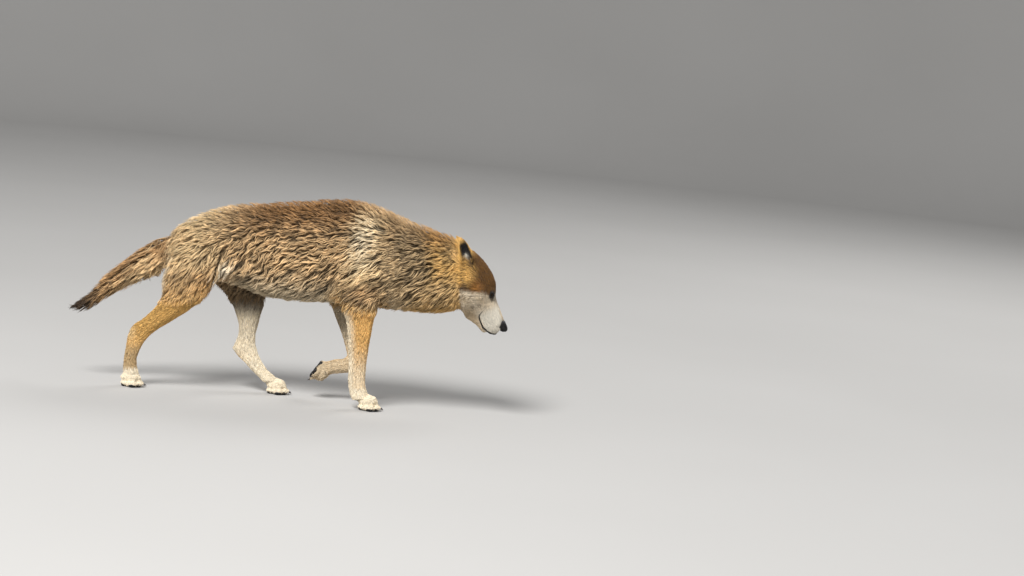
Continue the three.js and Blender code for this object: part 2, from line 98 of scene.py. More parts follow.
# The head's frame is measured in millimetres back from the tip of the nose along its bridge, up from the
# bridge, and out from the middle.
HEAD_PITCH = math.radians(62)       # how far the bridge falls below level
EYE_BACK, EYE_DOWN = 0.134, 0.005   # the eyes' middle, in metres
LIP = ((-7, -40, 0), (-4, -50, 11), (8, -68, 21), (26, -77, 26), (46, -81, 30), (62, -79, 34), (74, -73, 38))
CREASE = ((81, -66, 40), (87, -54, 41), (93, -42, 41))  # runs on up the cheek from the corner of the mouth
FACE_FORMS = (                              # middle, radii and height of each form
    ((133, 8, 30), (18, 16, 16), 3.2),      # brow
    ((108, -8, 24), (18, 14, 14), -3.0),    # hollow before the eye
    ((150, -34, 58), (34, 22, 30), 2.5),    # cheekbone
    ((70, -30, 30), (40, 26, 20), -1.8),    # side of the muzzle
    ((24, -52, 24), (26, 20, 20), 2.2),     # whisker pad
    ((150, 26, 0), (40, 20, 8), -2.0),      # furrow of the forehead
)
LIP_DEPTH, LIP_REACH, LIP_BARE = 1.8, 5, (3.5, 6.5)     # the groove of the mouth, and the bare skin by it
NOSE_SINK = 3.6                 # how far the skin under the nose leather is sunk
MUZZLE_END = 112                # how far back the muzzle's fine coat runs
# The skin's height behind the eyeball, its rise to the lids, and its height there, in radii of the eyeball.
SOCKET, SOCKET_RISE, LID_OVER = 0.86, 0.25, 1.11
PARTING = 1.15                  # how strongly the hair parts round the eye

# The line of the back and nape: shares of the body's length from the tail tip, and of its height.
CREST = ((0.20, 0.80), (0.26, 0.845), (0.36, 0.925), (0.50, 0.965), (0.65, 0.995), (0.745, 0.94),
         (0.84, 0.885), (0.9, 0.85))

# How strongly the shape of each kind of node is smoothed, and for how many steps.
EASE = {"trunk": 0.9, "neck": 0.9, "shoulder": 0.8, "thigh": 0.8, "tail": 0.6, "head": 0.5, "muzzle": 0.35,
        "ear": 0.15, "limb": 0.5, "instep": 0.4, "paw": 0.12}
SHAPE_STEPS, SUNK_STEPS, FOLD_STEPS = 24, 6, 60
EASE_BLUR, FIELD_BLUR, LIE_BLUR, NORMAL_BLUR, UP_BLUR, TINT_BLUR = 12, 30, 14, 10, 6, 3     # steps too
SKIN_CLEARANCE = 0.0015     # the lowest that the skin comes to the floor
FOLLOW_LOSS = 0.85          # how much less the locks follow the skin in a fold, on the ears and on the tail
LOOSE_NECK = 0.97           # where the locks of the neck follow less than this, they belong to the head

LIFTED_DIP = 2.15           # how far the lifted forefoot is turned down and back, in radians
CLAW_REACH, CLAW_DROP = 0.033, 0.009    # from the middle of a toe to the tip of its claw
TOE_PAD, TOE_PAD_SHIFT, TOE_PAD_DROP = (0.0125, 0.0082, 0.007), 0.003, 0.0125
HEEL_BACK = 0.036           # from the middle toes to the main pad
HEEL_PADS = (               # how far aside and back, and half sizes, of each part of the main pad
    (0, 0.0, (0.014, 0.015, 0.0085)), (0.0095, 0.006, (0.011, 0.0095, 0.008)),
    (-0.0095, 0.006, (0.011, 0.0095, 0.008)),
)
# The rim of an eyelid in section: share of the almond, and height in radii of the eyeball.
LID_RINGS = ((0.97, 1.0), (0.95, 1.06), (1.02, 1.11), (1.14, 1.135), (1.3, 1.12), (1.5, 1.05), (1.4, 0.95),
             (1.1, 0.93))
CORNEA_SWELL, CORNEA_EDGE = 0.07, 0.62      # how far it stands out, and the angle from the gaze where it ends
PATCH, MARGIN = 0.003, 0.01     # width of a lock's patch on the map, and the map's edge beyond the roots

FLOOR_RADII, WALL_BEND, WALL_TOP = (0.5, 2, 5, 9, 12), 3, 7.0
LAMPS = {"key": ((-2.6, -7.0, 8.6), 4.5), "fill": ((5.0, 5.5, 6.0), 5.0)}       # place and width
LAMP_AIM = (0, 0, 0.4)
SKY, SKY_STRENGTH = (0.93, 0.95, 0.98, 1.0), 0.42
SENSOR_WIDTH, SIGHT = 36, 100   # the camera's sensor in millimetres, and how far it sees


# ---- Small helpers ----


def read(data, name, width, kind=np.float32):
    """One value of every item of a mesh collection, as an array of that width."""
    found = np.empty(len(data) * width, kind)
    data.foreach_get(name, found)
    return found.reshape(-1, width) if width > 1 else found


def write_attribute(mesh, name, values, kind="FLOAT"):
    """Stores one value a vertex under that name."""
    field = {"FLOAT": "value", "FLOAT_VECTOR": "vector", "FLOAT_COLOR": "color"}[kind]
    if kind == "FLOAT_COLOR":
        values = np.column_stack([values, np.ones(len(values))])
    attribute = mesh.attributes.new(name, kind, "POINT")
    attribute.data.foreach_set(field, np.asarray(values, np.float32).ravel())


def unit(vectors):
    length = np.linalg.norm(vectors, axis=-1, keepdims=True)
    return vectors / np.maximum(length, 1e-9)


def on_plane(vectors, normals):
    """The vectors with what stands along the normals taken away."""
    return vectors - (vectors * normals).sum(1)[:, None] * normals


def smooth(value, low, high):
    """0 below low, 1 above high, eased between. High may be under low."""
    t = np.clip((value - low) / (high - low), 0, 1)
    return t * t * (3 - 2 * t)


def bump_at(points, place, radii):
    """1 at place, falling to 0 at radii away from it along each axis."""
    away = np.sqrt((((points - np.asarray(place)) / np.asarray(radii)) ** 2).sum(1))
    return 1 - smooth(away, 0.0, 1.0)


def circle(around):
    """The angles of points spread evenly round a circle."""
    return np.linspace(0, 2 * np.pi, around, endpoint=False)


def new_object(name, data):
    thing = bpy.data.objects.new(name, data)
    bpy.context.scene.collection.objects.link(thing)
    return thing


def mesh_from(name, points, faces):
    mesh = bpy.data.meshes.new(name)
    mesh.from_pydata([tuple(map(float, p)) for p in points], [], [tuple(map(int, f)) for f in faces])
    mesh.validate()
    mesh.shade_smooth()
    return mesh


def made_plain(thing):
    """The object's mesh with its modifiers made real, and the modifiers gone."""
    held = thing.evaluated_get(bpy.context.evaluated_depsgraph_get())
    mesh = bpy.data.meshes.new_from_object(held)
    thing.modifiers.clear()
    old, thing.data = thing.data, mesh
    mesh.name = thing.name
    bpy.data.meshes.remove(old)
    return thing


def edited(mesh, weld, outward=False):
    """Joins a mesh's doubles that lie closer than weld, and may turn its faces outwards."""
    held = bmesh.new()
    held.from_mesh(mesh)
    bmesh.ops.remove_doubles(held, verts=held.verts, dist=weld)
    if outward:
        bmesh.ops.recalc_face_normals(held, faces=held.faces)
    held.to_mesh(mesh)
    held.free()
    return mesh


def merged(name, meshes):
    """One mesh from several, which are used up."""
    whole = bmesh.new()
    for mesh in meshes:
        whole.from_mesh(mesh)
        bpy.data.meshes.remove(mesh)
    mesh = bpy.data.meshes.new(name)
    whole.to_mesh(mesh)
    whole.free()
    return mesh


def faces_of(mesh):
    return [tuple(p.vertices) for p in mesh.polygons]


def node_points(name):
    return read(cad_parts[name].data.vertices, "co", 3)


def middle_of(name):
    low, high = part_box(name)
    return np.array((low + high) / 2)


def seam_between(first, second, near=0.0016):
    """The middle of the cut where two nodes meet."""
    a, b = node_points(first), node_points(second)
    tree = BVHTree.FromPolygons(b.tolist(), faces_of(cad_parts[second].data))
    met = np.array([tree.find_nearest(p)[3] < near for p in a.tolist()])
    return a[met].mean(0)


def nearest_nodes(mesh):
    """For each vertex, which flesh node is nearest, as a number in FLESH."""
    points, faces, owner = [], [], []
    for number, name in enumerate(FLESH):
        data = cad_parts[name].data
        start = len(points)
        points += [v.co[:] for v in data.vertices]
        faces += [[start + i for i in face] for face in faces_of(data)]
        owner += [number] * len(data.polygons)
    tree = BVHTree.FromPolygons(points, faces)
    return np.array([owner[tree.find_nearest(p)[2]] for p in read(mesh.vertices, "co", 3).tolist()])


def normals_of(mesh, points):
    """Moves a mesh's vertices to points, and gives its normals there."""
    mesh.vertices.foreach_set("co", np.asarray(points, np.float32).ravel())
    mesh.update()
    return read(mesh.vertex_normals, "vector", 3).astype(float)


class Web:
    """The edges of a mesh, for spreading values over its surface."""

    def __init__(self, mesh):
        ends = read(mesh.edges, "vertices", 2, np.int32)
        self.total = len(mesh.vertices)
        self.first, self.second = ends[:, 0], ends[:, 1]
        counts = np.bincount(ends.ravel(), minlength=self.total)
        self.share = 1.0 / np.maximum(counts, 1)

    def mean(self, values):
        """The mean of each vertex's neighbours."""
        columns = values.reshape(self.total, -1)
        out = np.empty(columns.shape)
        for k in range(columns.shape[1]):
            out[:, k] = np.bincount(self.first, columns[self.second, k], self.total)
            out[:, k] += np.bincount(self.second, columns[self.first, k], self.total)
        return (out * self.share[:, None]).reshape(values.shape)

    def blur(self, values, steps):
        for _ in range(steps):
            values = values + 0.6 * (self.mean(values) - values)
        return values

    def relax(self, points, amount, steps):
        """Smooths a shape by amount at each vertex, and keeps its size."""
        for _ in range(steps):
            for pull in (0.5, -0.52):
                points = points + (amount * pull)[:, None] * (self.mean(points) - points)
        return points


# ---- The body's own directions ----


class Head:
    """The head's frame, and points told in it."""

    back = np.array([-math.cos(HEAD_PITCH), 0, math.sin(HEAD_PITCH)])
    up = np.array([math.sin(HEAD_PITCH), 0, math.cos(HEAD_PITCH)])

    def __init__(self):
        eyes = (middle_of("eye_right") + middle_of("eye_left")) / 2
        self.tip = eyes - EYE_BACK * self.back + EYE_DOWN * self.up

    def place(self, back, up, out=0.0):
        """A point given in millimetres back, up and out."""
        return self.tip + (back * self.back + up * self.up + out * ALONG_Y) / 1000

    def local(self, points):
        """Each point's millimetres back, up and out."""
        away = (points - self.tip) * 1000
        return np.column_stack([away @ self.back, away @ self.up, away[:, 1]])


class Eye:
    """One eyeball: its middle, where it looks, and the almond that the lids leave open."""

    gaze_local = (-0.70, 0.26, 0.67)    # back, up, out
    line_local = (0.90, 0.14, 0.42)     # from the inner to the outer corner
    half_long, half_high = math.radians(56), math.radians(27)

    def __init__(self, side):
        head = Head()
        axes = np.array([head.back, head.up, [0, side, 0]])
        self.centre = middle_of("eye_" + SIDE_NAMES[side])
        self.radius = bpy.context.scene.wolf_skin.eye_radius
        self.gaze = unit(np.array(self.gaze_local) @ axes)
        line = np.array(self.line_local) @ axes
        self.line = unit(line - (line @ self.gaze) * self.gaze)
        self.over = np.cross(self.line, self.gaze)
        if self.over @ head.up < 0:
            self.over = -self.over

    def opening(self, away):
        """How far each direction lies from the gaze: 1 on the edge of the almond."""
        away = unit(away)
        long_way = np.arctan2(away @ self.line, away @ self.gaze) / self.half_long
        high_way = np.arctan2(away @ self.over, away @ self.gaze) / self.half_high
        return np.hypot(long_way, high_way)

    def direction(self, long_way, high_way):
        """The direction at shares of the almond's half length and half height."""
        slopes = [np.tan(np.clip(share * half, -1.4, 1.4))
                  for share, half in ((long_way, self.half_long), (high_way, self.half_high))]
        return unit(np.column_stack([*slopes, np.ones(len(long_way))])
                    @ np.array([self.line, self.over, self.gaze]))


class Body:
    """Points of the skin, with the node and the place on the body that each belongs to."""

    def __init__(self, points, nodes):
        self.points = points
        self.names, self.kinds = FLESH_NAMES[nodes], FLESH_KINDS[nodes]
        low, high = (np.array(corner) for corner in CAD_BOX)
        share = (points - low) / (high - low)
        self.along, self.high = share[:, 0], share[:, 2]    # from the tip of the tail, and from the floor
        self.spot = np.column_stack([self.along, self.high])
        self.below = np.interp(self.along, *zip(*CREST)) - self.high    # under the line of the back
        self.torso = self.on("trunk", "neck", "shoulder", "thigh")
        self.on_face = self.on("head", "muzzle")

    def on(self, *kinds):
        return np.isin(self.kinds, kinds).astype(float)

    def node(self, *names):
        return np.isin(self.names, names).astype(float)

    def near(self, place, radii):
        """1 at a place given by its shares of length and height, 0 at radii away."""
        return bump_at(self.spot, place, radii)


def lie_of_nodes():
    """Which way the hair of each flesh node runs, before the surface turns it."""
    head = Head()
    lies = {"trunk": (-1, 0, -0.25), "neck": (-1, 0, -0.35), "head": head.back, "jaw": head.back,
            "nose": head.back}
    for side in SIDE_NAMES.values():
        ear = node_points("ear_" + side)
        root = ear[np.argsort(ear @ head.back)[:40]].mean(0)
        lies["ear_" + side] = ear[np.argmax(ear @ head.back)] - root
    tip = node_points("tail_tip")
    middle, end = seam_between(TAIL[0], TAIL[1]), seam_between(TAIL[1], TAIL[2])
    lies |= {"tail_root": end - middle, "tail_middle": end - middle,
             "tail_tip": tip[np.argmin(tip[:, 0])] - end}
    for leg, (upper, lower, instep, paw) in LEGS.items():
        knee, bend, ankle = (seam_between(a, b) for a, b in ((upper, lower), (lower, instep), (instep, paw)))
        claws = np.mean([middle_of(f"claw_{leg}_{k}") for k in (2, 3)], axis=0)
        lies[lower], lies[instep], lies[paw] = bend - knee, ankle - bend, claws - ankle
        lies[upper] = (-0.5, 0, -1) if upper.startswith("thigh") else (-0.75, 0, -0.7)
    return {name: np.asarray(v, float) / np.linalg.norm(v) for name, v in lies.items()}


# ---- Sizes and colours that a user would change ----


def sizes(label, default, note):
    """Depth of the coat, then length and width of a lock, for one kind of coat."""
    return FloatVectorProperty(
        name=label, description=f"{note}: depth, length and width of a lock", size=3,
        default=[v / 1000 for v in default], min=0, subtype="XYZ_LENGTH", unit="LENGTH")


def shade(label, default, note):
    return FloatVectorProperty(
        name=label, description=note, size=3, default=default, min=0, max=1, subtype="COLOR")


class WolfSkinSizes(PropertyGroup):
    """How the skin is made from the flesh nodes."""

    voxel: FloatProperty(
        name="Voxel", description="Grain of the skin before it is thinned out", default=0.0026,
        min=0.002, unit="LENGTH")
    bridge: FloatProperty(
        name="Bridge", description="How far each node swells to close the thin cuts between them",
        default=0.0009, min=0, unit="LENGTH")
    thinning: FloatProperty(
        name="Thinning", description="Share of the faces kept under the long coat", default=0.3,
        min=0.05, max=1, subtype="FACTOR")
    eye_radius: FloatProperty(
        name="Eye radius", description="Half the width of an eyeball", default=0.0118, min=0.005,
        unit="LENGTH")


class WolfCoatSizes(PropertyGroup):
    """The coat of each kind of node."""

    trunk: sizes("Trunk", (22, 36, 7.4), "Woolly sides and back")
    neck: sizes("Neck", (24, 42, 6.8), "Mane and throat")
    shoulder: sizes("Shoulder", (22, 42, 7.2), "Shoulder")
    thigh: sizes("Thigh", (18, 38, 7.5), "Thigh")
    tail: sizes("Tail", (24, 64, 8), "Brush of the tail")
    head: sizes("Head", (5, 16, 2.7), "Crown, forehead and cheeks")
    muzzle: sizes("Muzzle", (2.2, 9, 1.7), "Muzzle and jaw")
    ear: sizes("Ear", (2, 11, 2.6), "Ears")
    limb: sizes("Leg", (5, 18, 3.3), "Shanks and forearms")
    instep: sizes("Instep", (3.6, 14, 2.9), "Below the hock and the wrist")
    paw: sizes("Paw", (3, 11, 2.6), "Feet")
    seed: IntProperty(name="Seed", description="Turns up another scatter of tufts", default=7)


class WolfColours(PropertyGroup):
    """Colours of the hair and of the bare parts."""

    side: shade("Side", (0.6, 0.405, 0.21), "Woolly tan of the sides")
    back: shade("Back", (0.37, 0.195, 0.075), "Warm brown of the back")
    # Also laid on the far legs and round the eye as painted shade.
    dark: shade("Dark", (0.05, 0.033, 0.022), "Dark guard hairs")
    band: shade("Band", (0.72, 0.54, 0.3), "Pale band behind the shoulder")
    under: shade("Under", (0.5, 0.405, 0.27), "Lower flank and chest")
    mane: shade("Mane", (0.6, 0.36, 0.112), "Golden neck")
    crown: shade("Crown", (0.13, 0.062, 0.017), "Rusty crown and forehead")
    rust: shade("Rust", (0.4, 0.18, 0.042), "Patch behind the eye")
    cheek: shade("Cheek", (0.6, 0.505, 0.375), "Pale cheek and muzzle")
    tawny: shade("Tawny", (0.78, 0.47, 0.16), "Orange tan of the legs")
    cream: shade("Cream", (0.86, 0.75, 0.565), "Pale lower legs and feet")
    # Also laid on the lifted forefoot as painted shade.
    hock: shade("Hock", (0.48, 0.345, 0.19), "Grey tan below the hock")
    # Also laid in the hollow of the ear, partly as painted shade.
    leather: shade("Leather", (0.006, 0.0052, 0.0052), "Nose, lips, eyelids and pads")
    snout: shade("Snout", (0.63, 0.585, 0.495), "White of the muzzle")
    # The iris is darker than its own amber: painted shade from the brow.
    iris: shade("Iris", (0.018, 0.008, 0.003), "Dark amber of the eye")
    horn: shade("Horn", (0.035, 0.028, 0.024), "Claws")


class WolfStudio(PropertyGroup):
    """The camera and the lights."""

    lens: FloatProperty(
        name="Focal length", description="Of the camera, on a 36 mm sensor", default=84.4, unit="CAMERA")
    distance: FloatProperty(
        name="Distance", description="From the camera to what it looks at", default=8.16, unit="LENGTH")
    elevation: FloatProperty(
        name="Elevation", description="How far the camera looks down", default=math.radians(7),
        subtype="ANGLE")
    roll: FloatProperty(
        name="Roll", description="How far the camera leans, as on a slope", default=math.radians(5.874),
        subtype="ANGLE")
    target: FloatVectorProperty(
        name="Target", description="What the camera looks at", size=3, default=(0.7426, 0.0, 0.46),
        subtype="XYZ", unit="LENGTH")
    key: FloatProperty(
        name="Key light", description="Power of the main soft light", default=1780.0, unit="POWER")
    fill: FloatProperty(
        name="Fill light", description="Power of the far soft light", default=350.0, unit="POWER")


# ---- The skin ----


def flesh_hull(settings):
    """One closed surface round all the flesh nodes, out to the tips of the coat."""
    shells = []
    for name in (*FLESH, "eye_right", "eye_left"):
        one = bmesh.new()
        one.from_mesh(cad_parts[name].data)
        bmesh.ops.remove_doubles(one, verts=one.verts, dist=1e-5)
        one.normal_update()
        for vert in one.verts:
            vert.co += vert.normal * settings.bridge
        shells.append(bpy.data.meshes.new(name))
        one.to_mesh(shells[-1])
        one.free()
    skin = new_object("skin", merged("skin", shells))
    remesh = skin.modifiers.new("One skin", "REMESH")
    remesh.mode = "VOXEL"
    remesh.voxel_size = settings.voxel
    made_plain(skin)

    coarse = ~np.isin(FLESH_KINDS[nearest_nodes(skin.data)], ("head", "muzzle", "ear", "paw"))
    group = skin.vertex_groups.new(name="long coat")
    group.add([int(i) for i in np.nonzero(coarse)[0]], 1.0, "REPLACE")
    thin = skin.modifiers.new("Thin out", "DECIMATE")
    thin.ratio = settings.thinning
    thin.vertex_group = "long coat"
    made_plain(skin)
    skin.vertex_groups.clear()
    return skin


def coat_fields(body, nodes, web):
    """Depth, length and width of the coat at each vertex, in metres, and how strongly it curls."""
    coat = bpy.context.scene.wolf_coat
    table = np.array([list(getattr(coat, kind)) for kind in FLESH_KINDS])
    fields = np.column_stack([table[nodes], np.ones(len(nodes))])
    along, high, torso = body.along, body.high, body.torso

    def scale(mask, *amounts):
        """Takes a share off depth, length, width and curl, or adds to them where it is negative."""
        nonlocal fields
        fields *= 1 - mask[:, None] * amounts

    def lean(mask, wanted):
        """Eases depth, length and width towards those of another kind of coat."""
        fields[:, :3] += mask[:, None] * (np.array(wanted) - fields[:, :3])

    seat = 0.7 * (1 - smooth(along, 0.24, 0.31)) * smooth(high, 0.56, 0.68)
    for mask, *amounts in (
            (1 - smooth(high, 0.56, 0.7), 0, -0.5, 0, 0.6),                     # belly
            (1 - smooth(along, 0.3, 0.38), 0, 0, 0.3, 0.75),                    # rump
            (seat, 0, -1, 0, 0),
            (body.near((0.665, 0.72), (0.075, 0.32)), 0, -0.25, 0.2, 0.6),      # fan behind the shoulder
            (smooth(along, 0.78, 0.88), 0.2, 0.25, 0.05, 0.6),                  # nape
            (1 - smooth(body.below, 0.03, 0.13), 0, 0.2, 0.4, 0.65)):           # ridge of the back
        scale(torso * mask, *amounts)

    back, up, _ = Head().local(body.points).T
    ruff = smooth(back + 0.8 * np.clip(-25 - up, 0, 50), 150, 255)
    lean(body.on("head") * ruff * 0.9, np.array(coat.neck) * (0.6, 0.55, 0.6))
    lean(body.on("head") * (1 - smooth(back, 60, 150)), coat.muzzle)
    for kind, low, top in (("thigh", 0.40, 0.60), ("shoulder", 0.46, 0.62)):
        lean(body.on(kind) * (1 - smooth(high, low, top)), np.array(coat.limb) * 1.4)
    scale(body.on("tail") * (1 - smooth(along, 0.0, 0.085)), 0.85, 0.5, 0.45, 0)    # its tip
    scale(1 - torso, 0, 0, 0, 0.65)
    fields = web.blur(fields, FIELD_BLUR)
    for side in (RIGHT, LEFT):
        away = np.linalg.norm(body.points - Eye(side).centre, axis=1)
        scale(1 - smooth(away, 0.014, 0.028), 0.5, 0.6, 0.45, 0)
    return fields


def lie_field(body, nodes, normals, web):
    """Which way the hair runs at each vertex, along the surface."""
    lies = lie_of_nodes()
    field = np.array([lies[name] for name in FLESH])[nodes]
    along, high, torso = body.along, body.high, body.torso

    def turn_to(mask, way):
        """Leads the hair another way where mask is above 0."""
        nonlocal field
        field += mask[:, None] * (np.array(way) - field)

    sink = 0.08 + 0.95 * (1 - smooth(high, 0.5, 0.82)) + 0.4 * (1 - smooth(along, 0.22, 0.34))
    field[:, 2] = np.where(body.kinds == "trunk", -sink, field[:, 2])
    turn_to(torso * (1 - smooth(along, 0.25, 0.32)) * smooth(high, 0.58, 0.68), 1.3 * lies["tail_root"])
    turn_to(torso * body.near((0.43, 0.73), (0.09, 0.14)), (0.15, 0, -1.0))    # fold of the flank
    turn_to(torso * body.near((0.61, 0.56), (0.12, 0.16)), (-0.75, 0, -1.0))   # chest
    # A whorl on the shoulder: down in front of its middle, back below it, level behind it.
    whorl = np.column_stack([high - 0.76, np.zeros(len(high)), -(along - 0.765) * 2.1])
    field += (torso * body.near((0.765, 0.76), (0.11, 0.2)) * 9.0)[:, None] * whorl
    drop = -0.15 - 0.75 * (1 - smooth(high, 0.5, 0.9))
    field[:, 2] = np.where(body.kinds == "neck", drop, field[:, 2])
    back, up, _ = Head().local(body.points).T
    cheek = body.on_face * smooth(back, 80, 170) * (1 - smooth(up, -60, 0))
    out = np.sign(body.points[:, 1])[:, None] * ALONG_Y
    field += cheek[:, None] * (0.5 * out + np.array([-0.6, 0, -0.7]) - 0.6 * field)
    for _ in range(3):
        field = on_plane(web.blur(unit(field), LIE_BLUR), normals)
    field = unit(field)
    for side in (RIGHT, LEFT):
        inward = Eye(side).centre - body.points
        near = 1 - smooth(np.linalg.norm(inward, axis=1), 0.016, 0.034)
        inward = unit(on_plane(inward, normals))
        towards = np.clip((field * inward).sum(1), 0, 1)
        field = field - (near * towards * PARTING)[:, None] * inward
    return unit(web.blur(field, 2))


def foot_frames():
    """Each foot's forward and up directions."""
    sine, cosine = math.sin(LIFTED_DIP), math.cos(LIFTED_DIP)
    lifted = (np.array([cosine, 0, -sine]), np.array([sine, 0, cosine]))
    return {leg: lifted if leg == "fore_left" else (ALONG_X, ALONG_Z) for leg in LEGS}


def bare_soles(body, normals):
    """1 on the soles of the feet, where no hair grows."""
    bare = np.zeros(len(normals))
    for leg, (_, up) in foot_frames().items():
        on = body.names == "paw_" + leg
        bare[on] = smooth(-(normals[on] @ up), 0.55, 0.85)
    return bare


def shape_face(body, normals):
    """Sinks the eye sockets and the mouth, and models the brow and the cheek. Gives what is bare too."""
    points, on_face = body.points, body.on_face
    back, up, out = Head().local(points).T
    mirrored = np.column_stack([back, up, np.abs(out)])
    move = np.zeros(len(points))
    for centre, radii, height in FACE_FORMS:
        move += height * bump_at(mirrored, centre, radii)
    path = np.array(LIP, float)
    gap = np.full(len(points), 99.0)
    for start, end in zip(path[:-1], path[1:]):
        t = np.clip(((mirrored - start) @ (end - start)) / ((end - start) ** 2).sum(), 0, 1)
        gap = np.minimum(gap, np.linalg.norm(mirrored - start - t[:, None] * (end - start), axis=1))
    move -= on_face * LIP_DEPTH * (1 - smooth(gap, 0, LIP_REACH))
    under_nose = on_face * (1 - smooth(back, 14, 24)) * smooth(up, -34, -28)
    move -= NOSE_SINK * under_nose
    bare = np.maximum(on_face * (1 - smooth(gap, *LIP_BARE)),
                      smooth(under_nose, 0.6, 0.95) * smooth(up, -24, -19))
    points = points + normals * (move / 1000)[:, None]
    for side in (RIGHT, LEFT):
        eye = Eye(side)
        away = points - eye.centre
        span = eye.opening(away)
        reach = np.linalg.norm(away, axis=1)
        within = (reach < 0.03) & (away @ eye.gaze > -0.3 * reach)
        socket = eye.radius * (SOCKET + SOCKET_RISE * smooth(span, 0.95, 1.3))
        hold = within * (1 - smooth(span, 1.3, 1.7)) * (1 - smooth(reach, 1.4 * eye.radius, 2.0 * eye.radius))
        lid = np.where(within, np.maximum(reach, eye.radius * LID_OVER), reach)
        wanted = eye.centre + unit(away) * (hold * socket + (1 - hold) * lid)[:, None]
        points = np.where(within[:, None], wanted, points)
        by_lid = 1 - smooth(reach, 1.35 * eye.radius, 1.75 * eye.radius)
        bare = np.maximum(bare, within * by_lid * (1 - smooth(span, 1.35, 1.7)))
    return points, bare


# ---- Markings ----


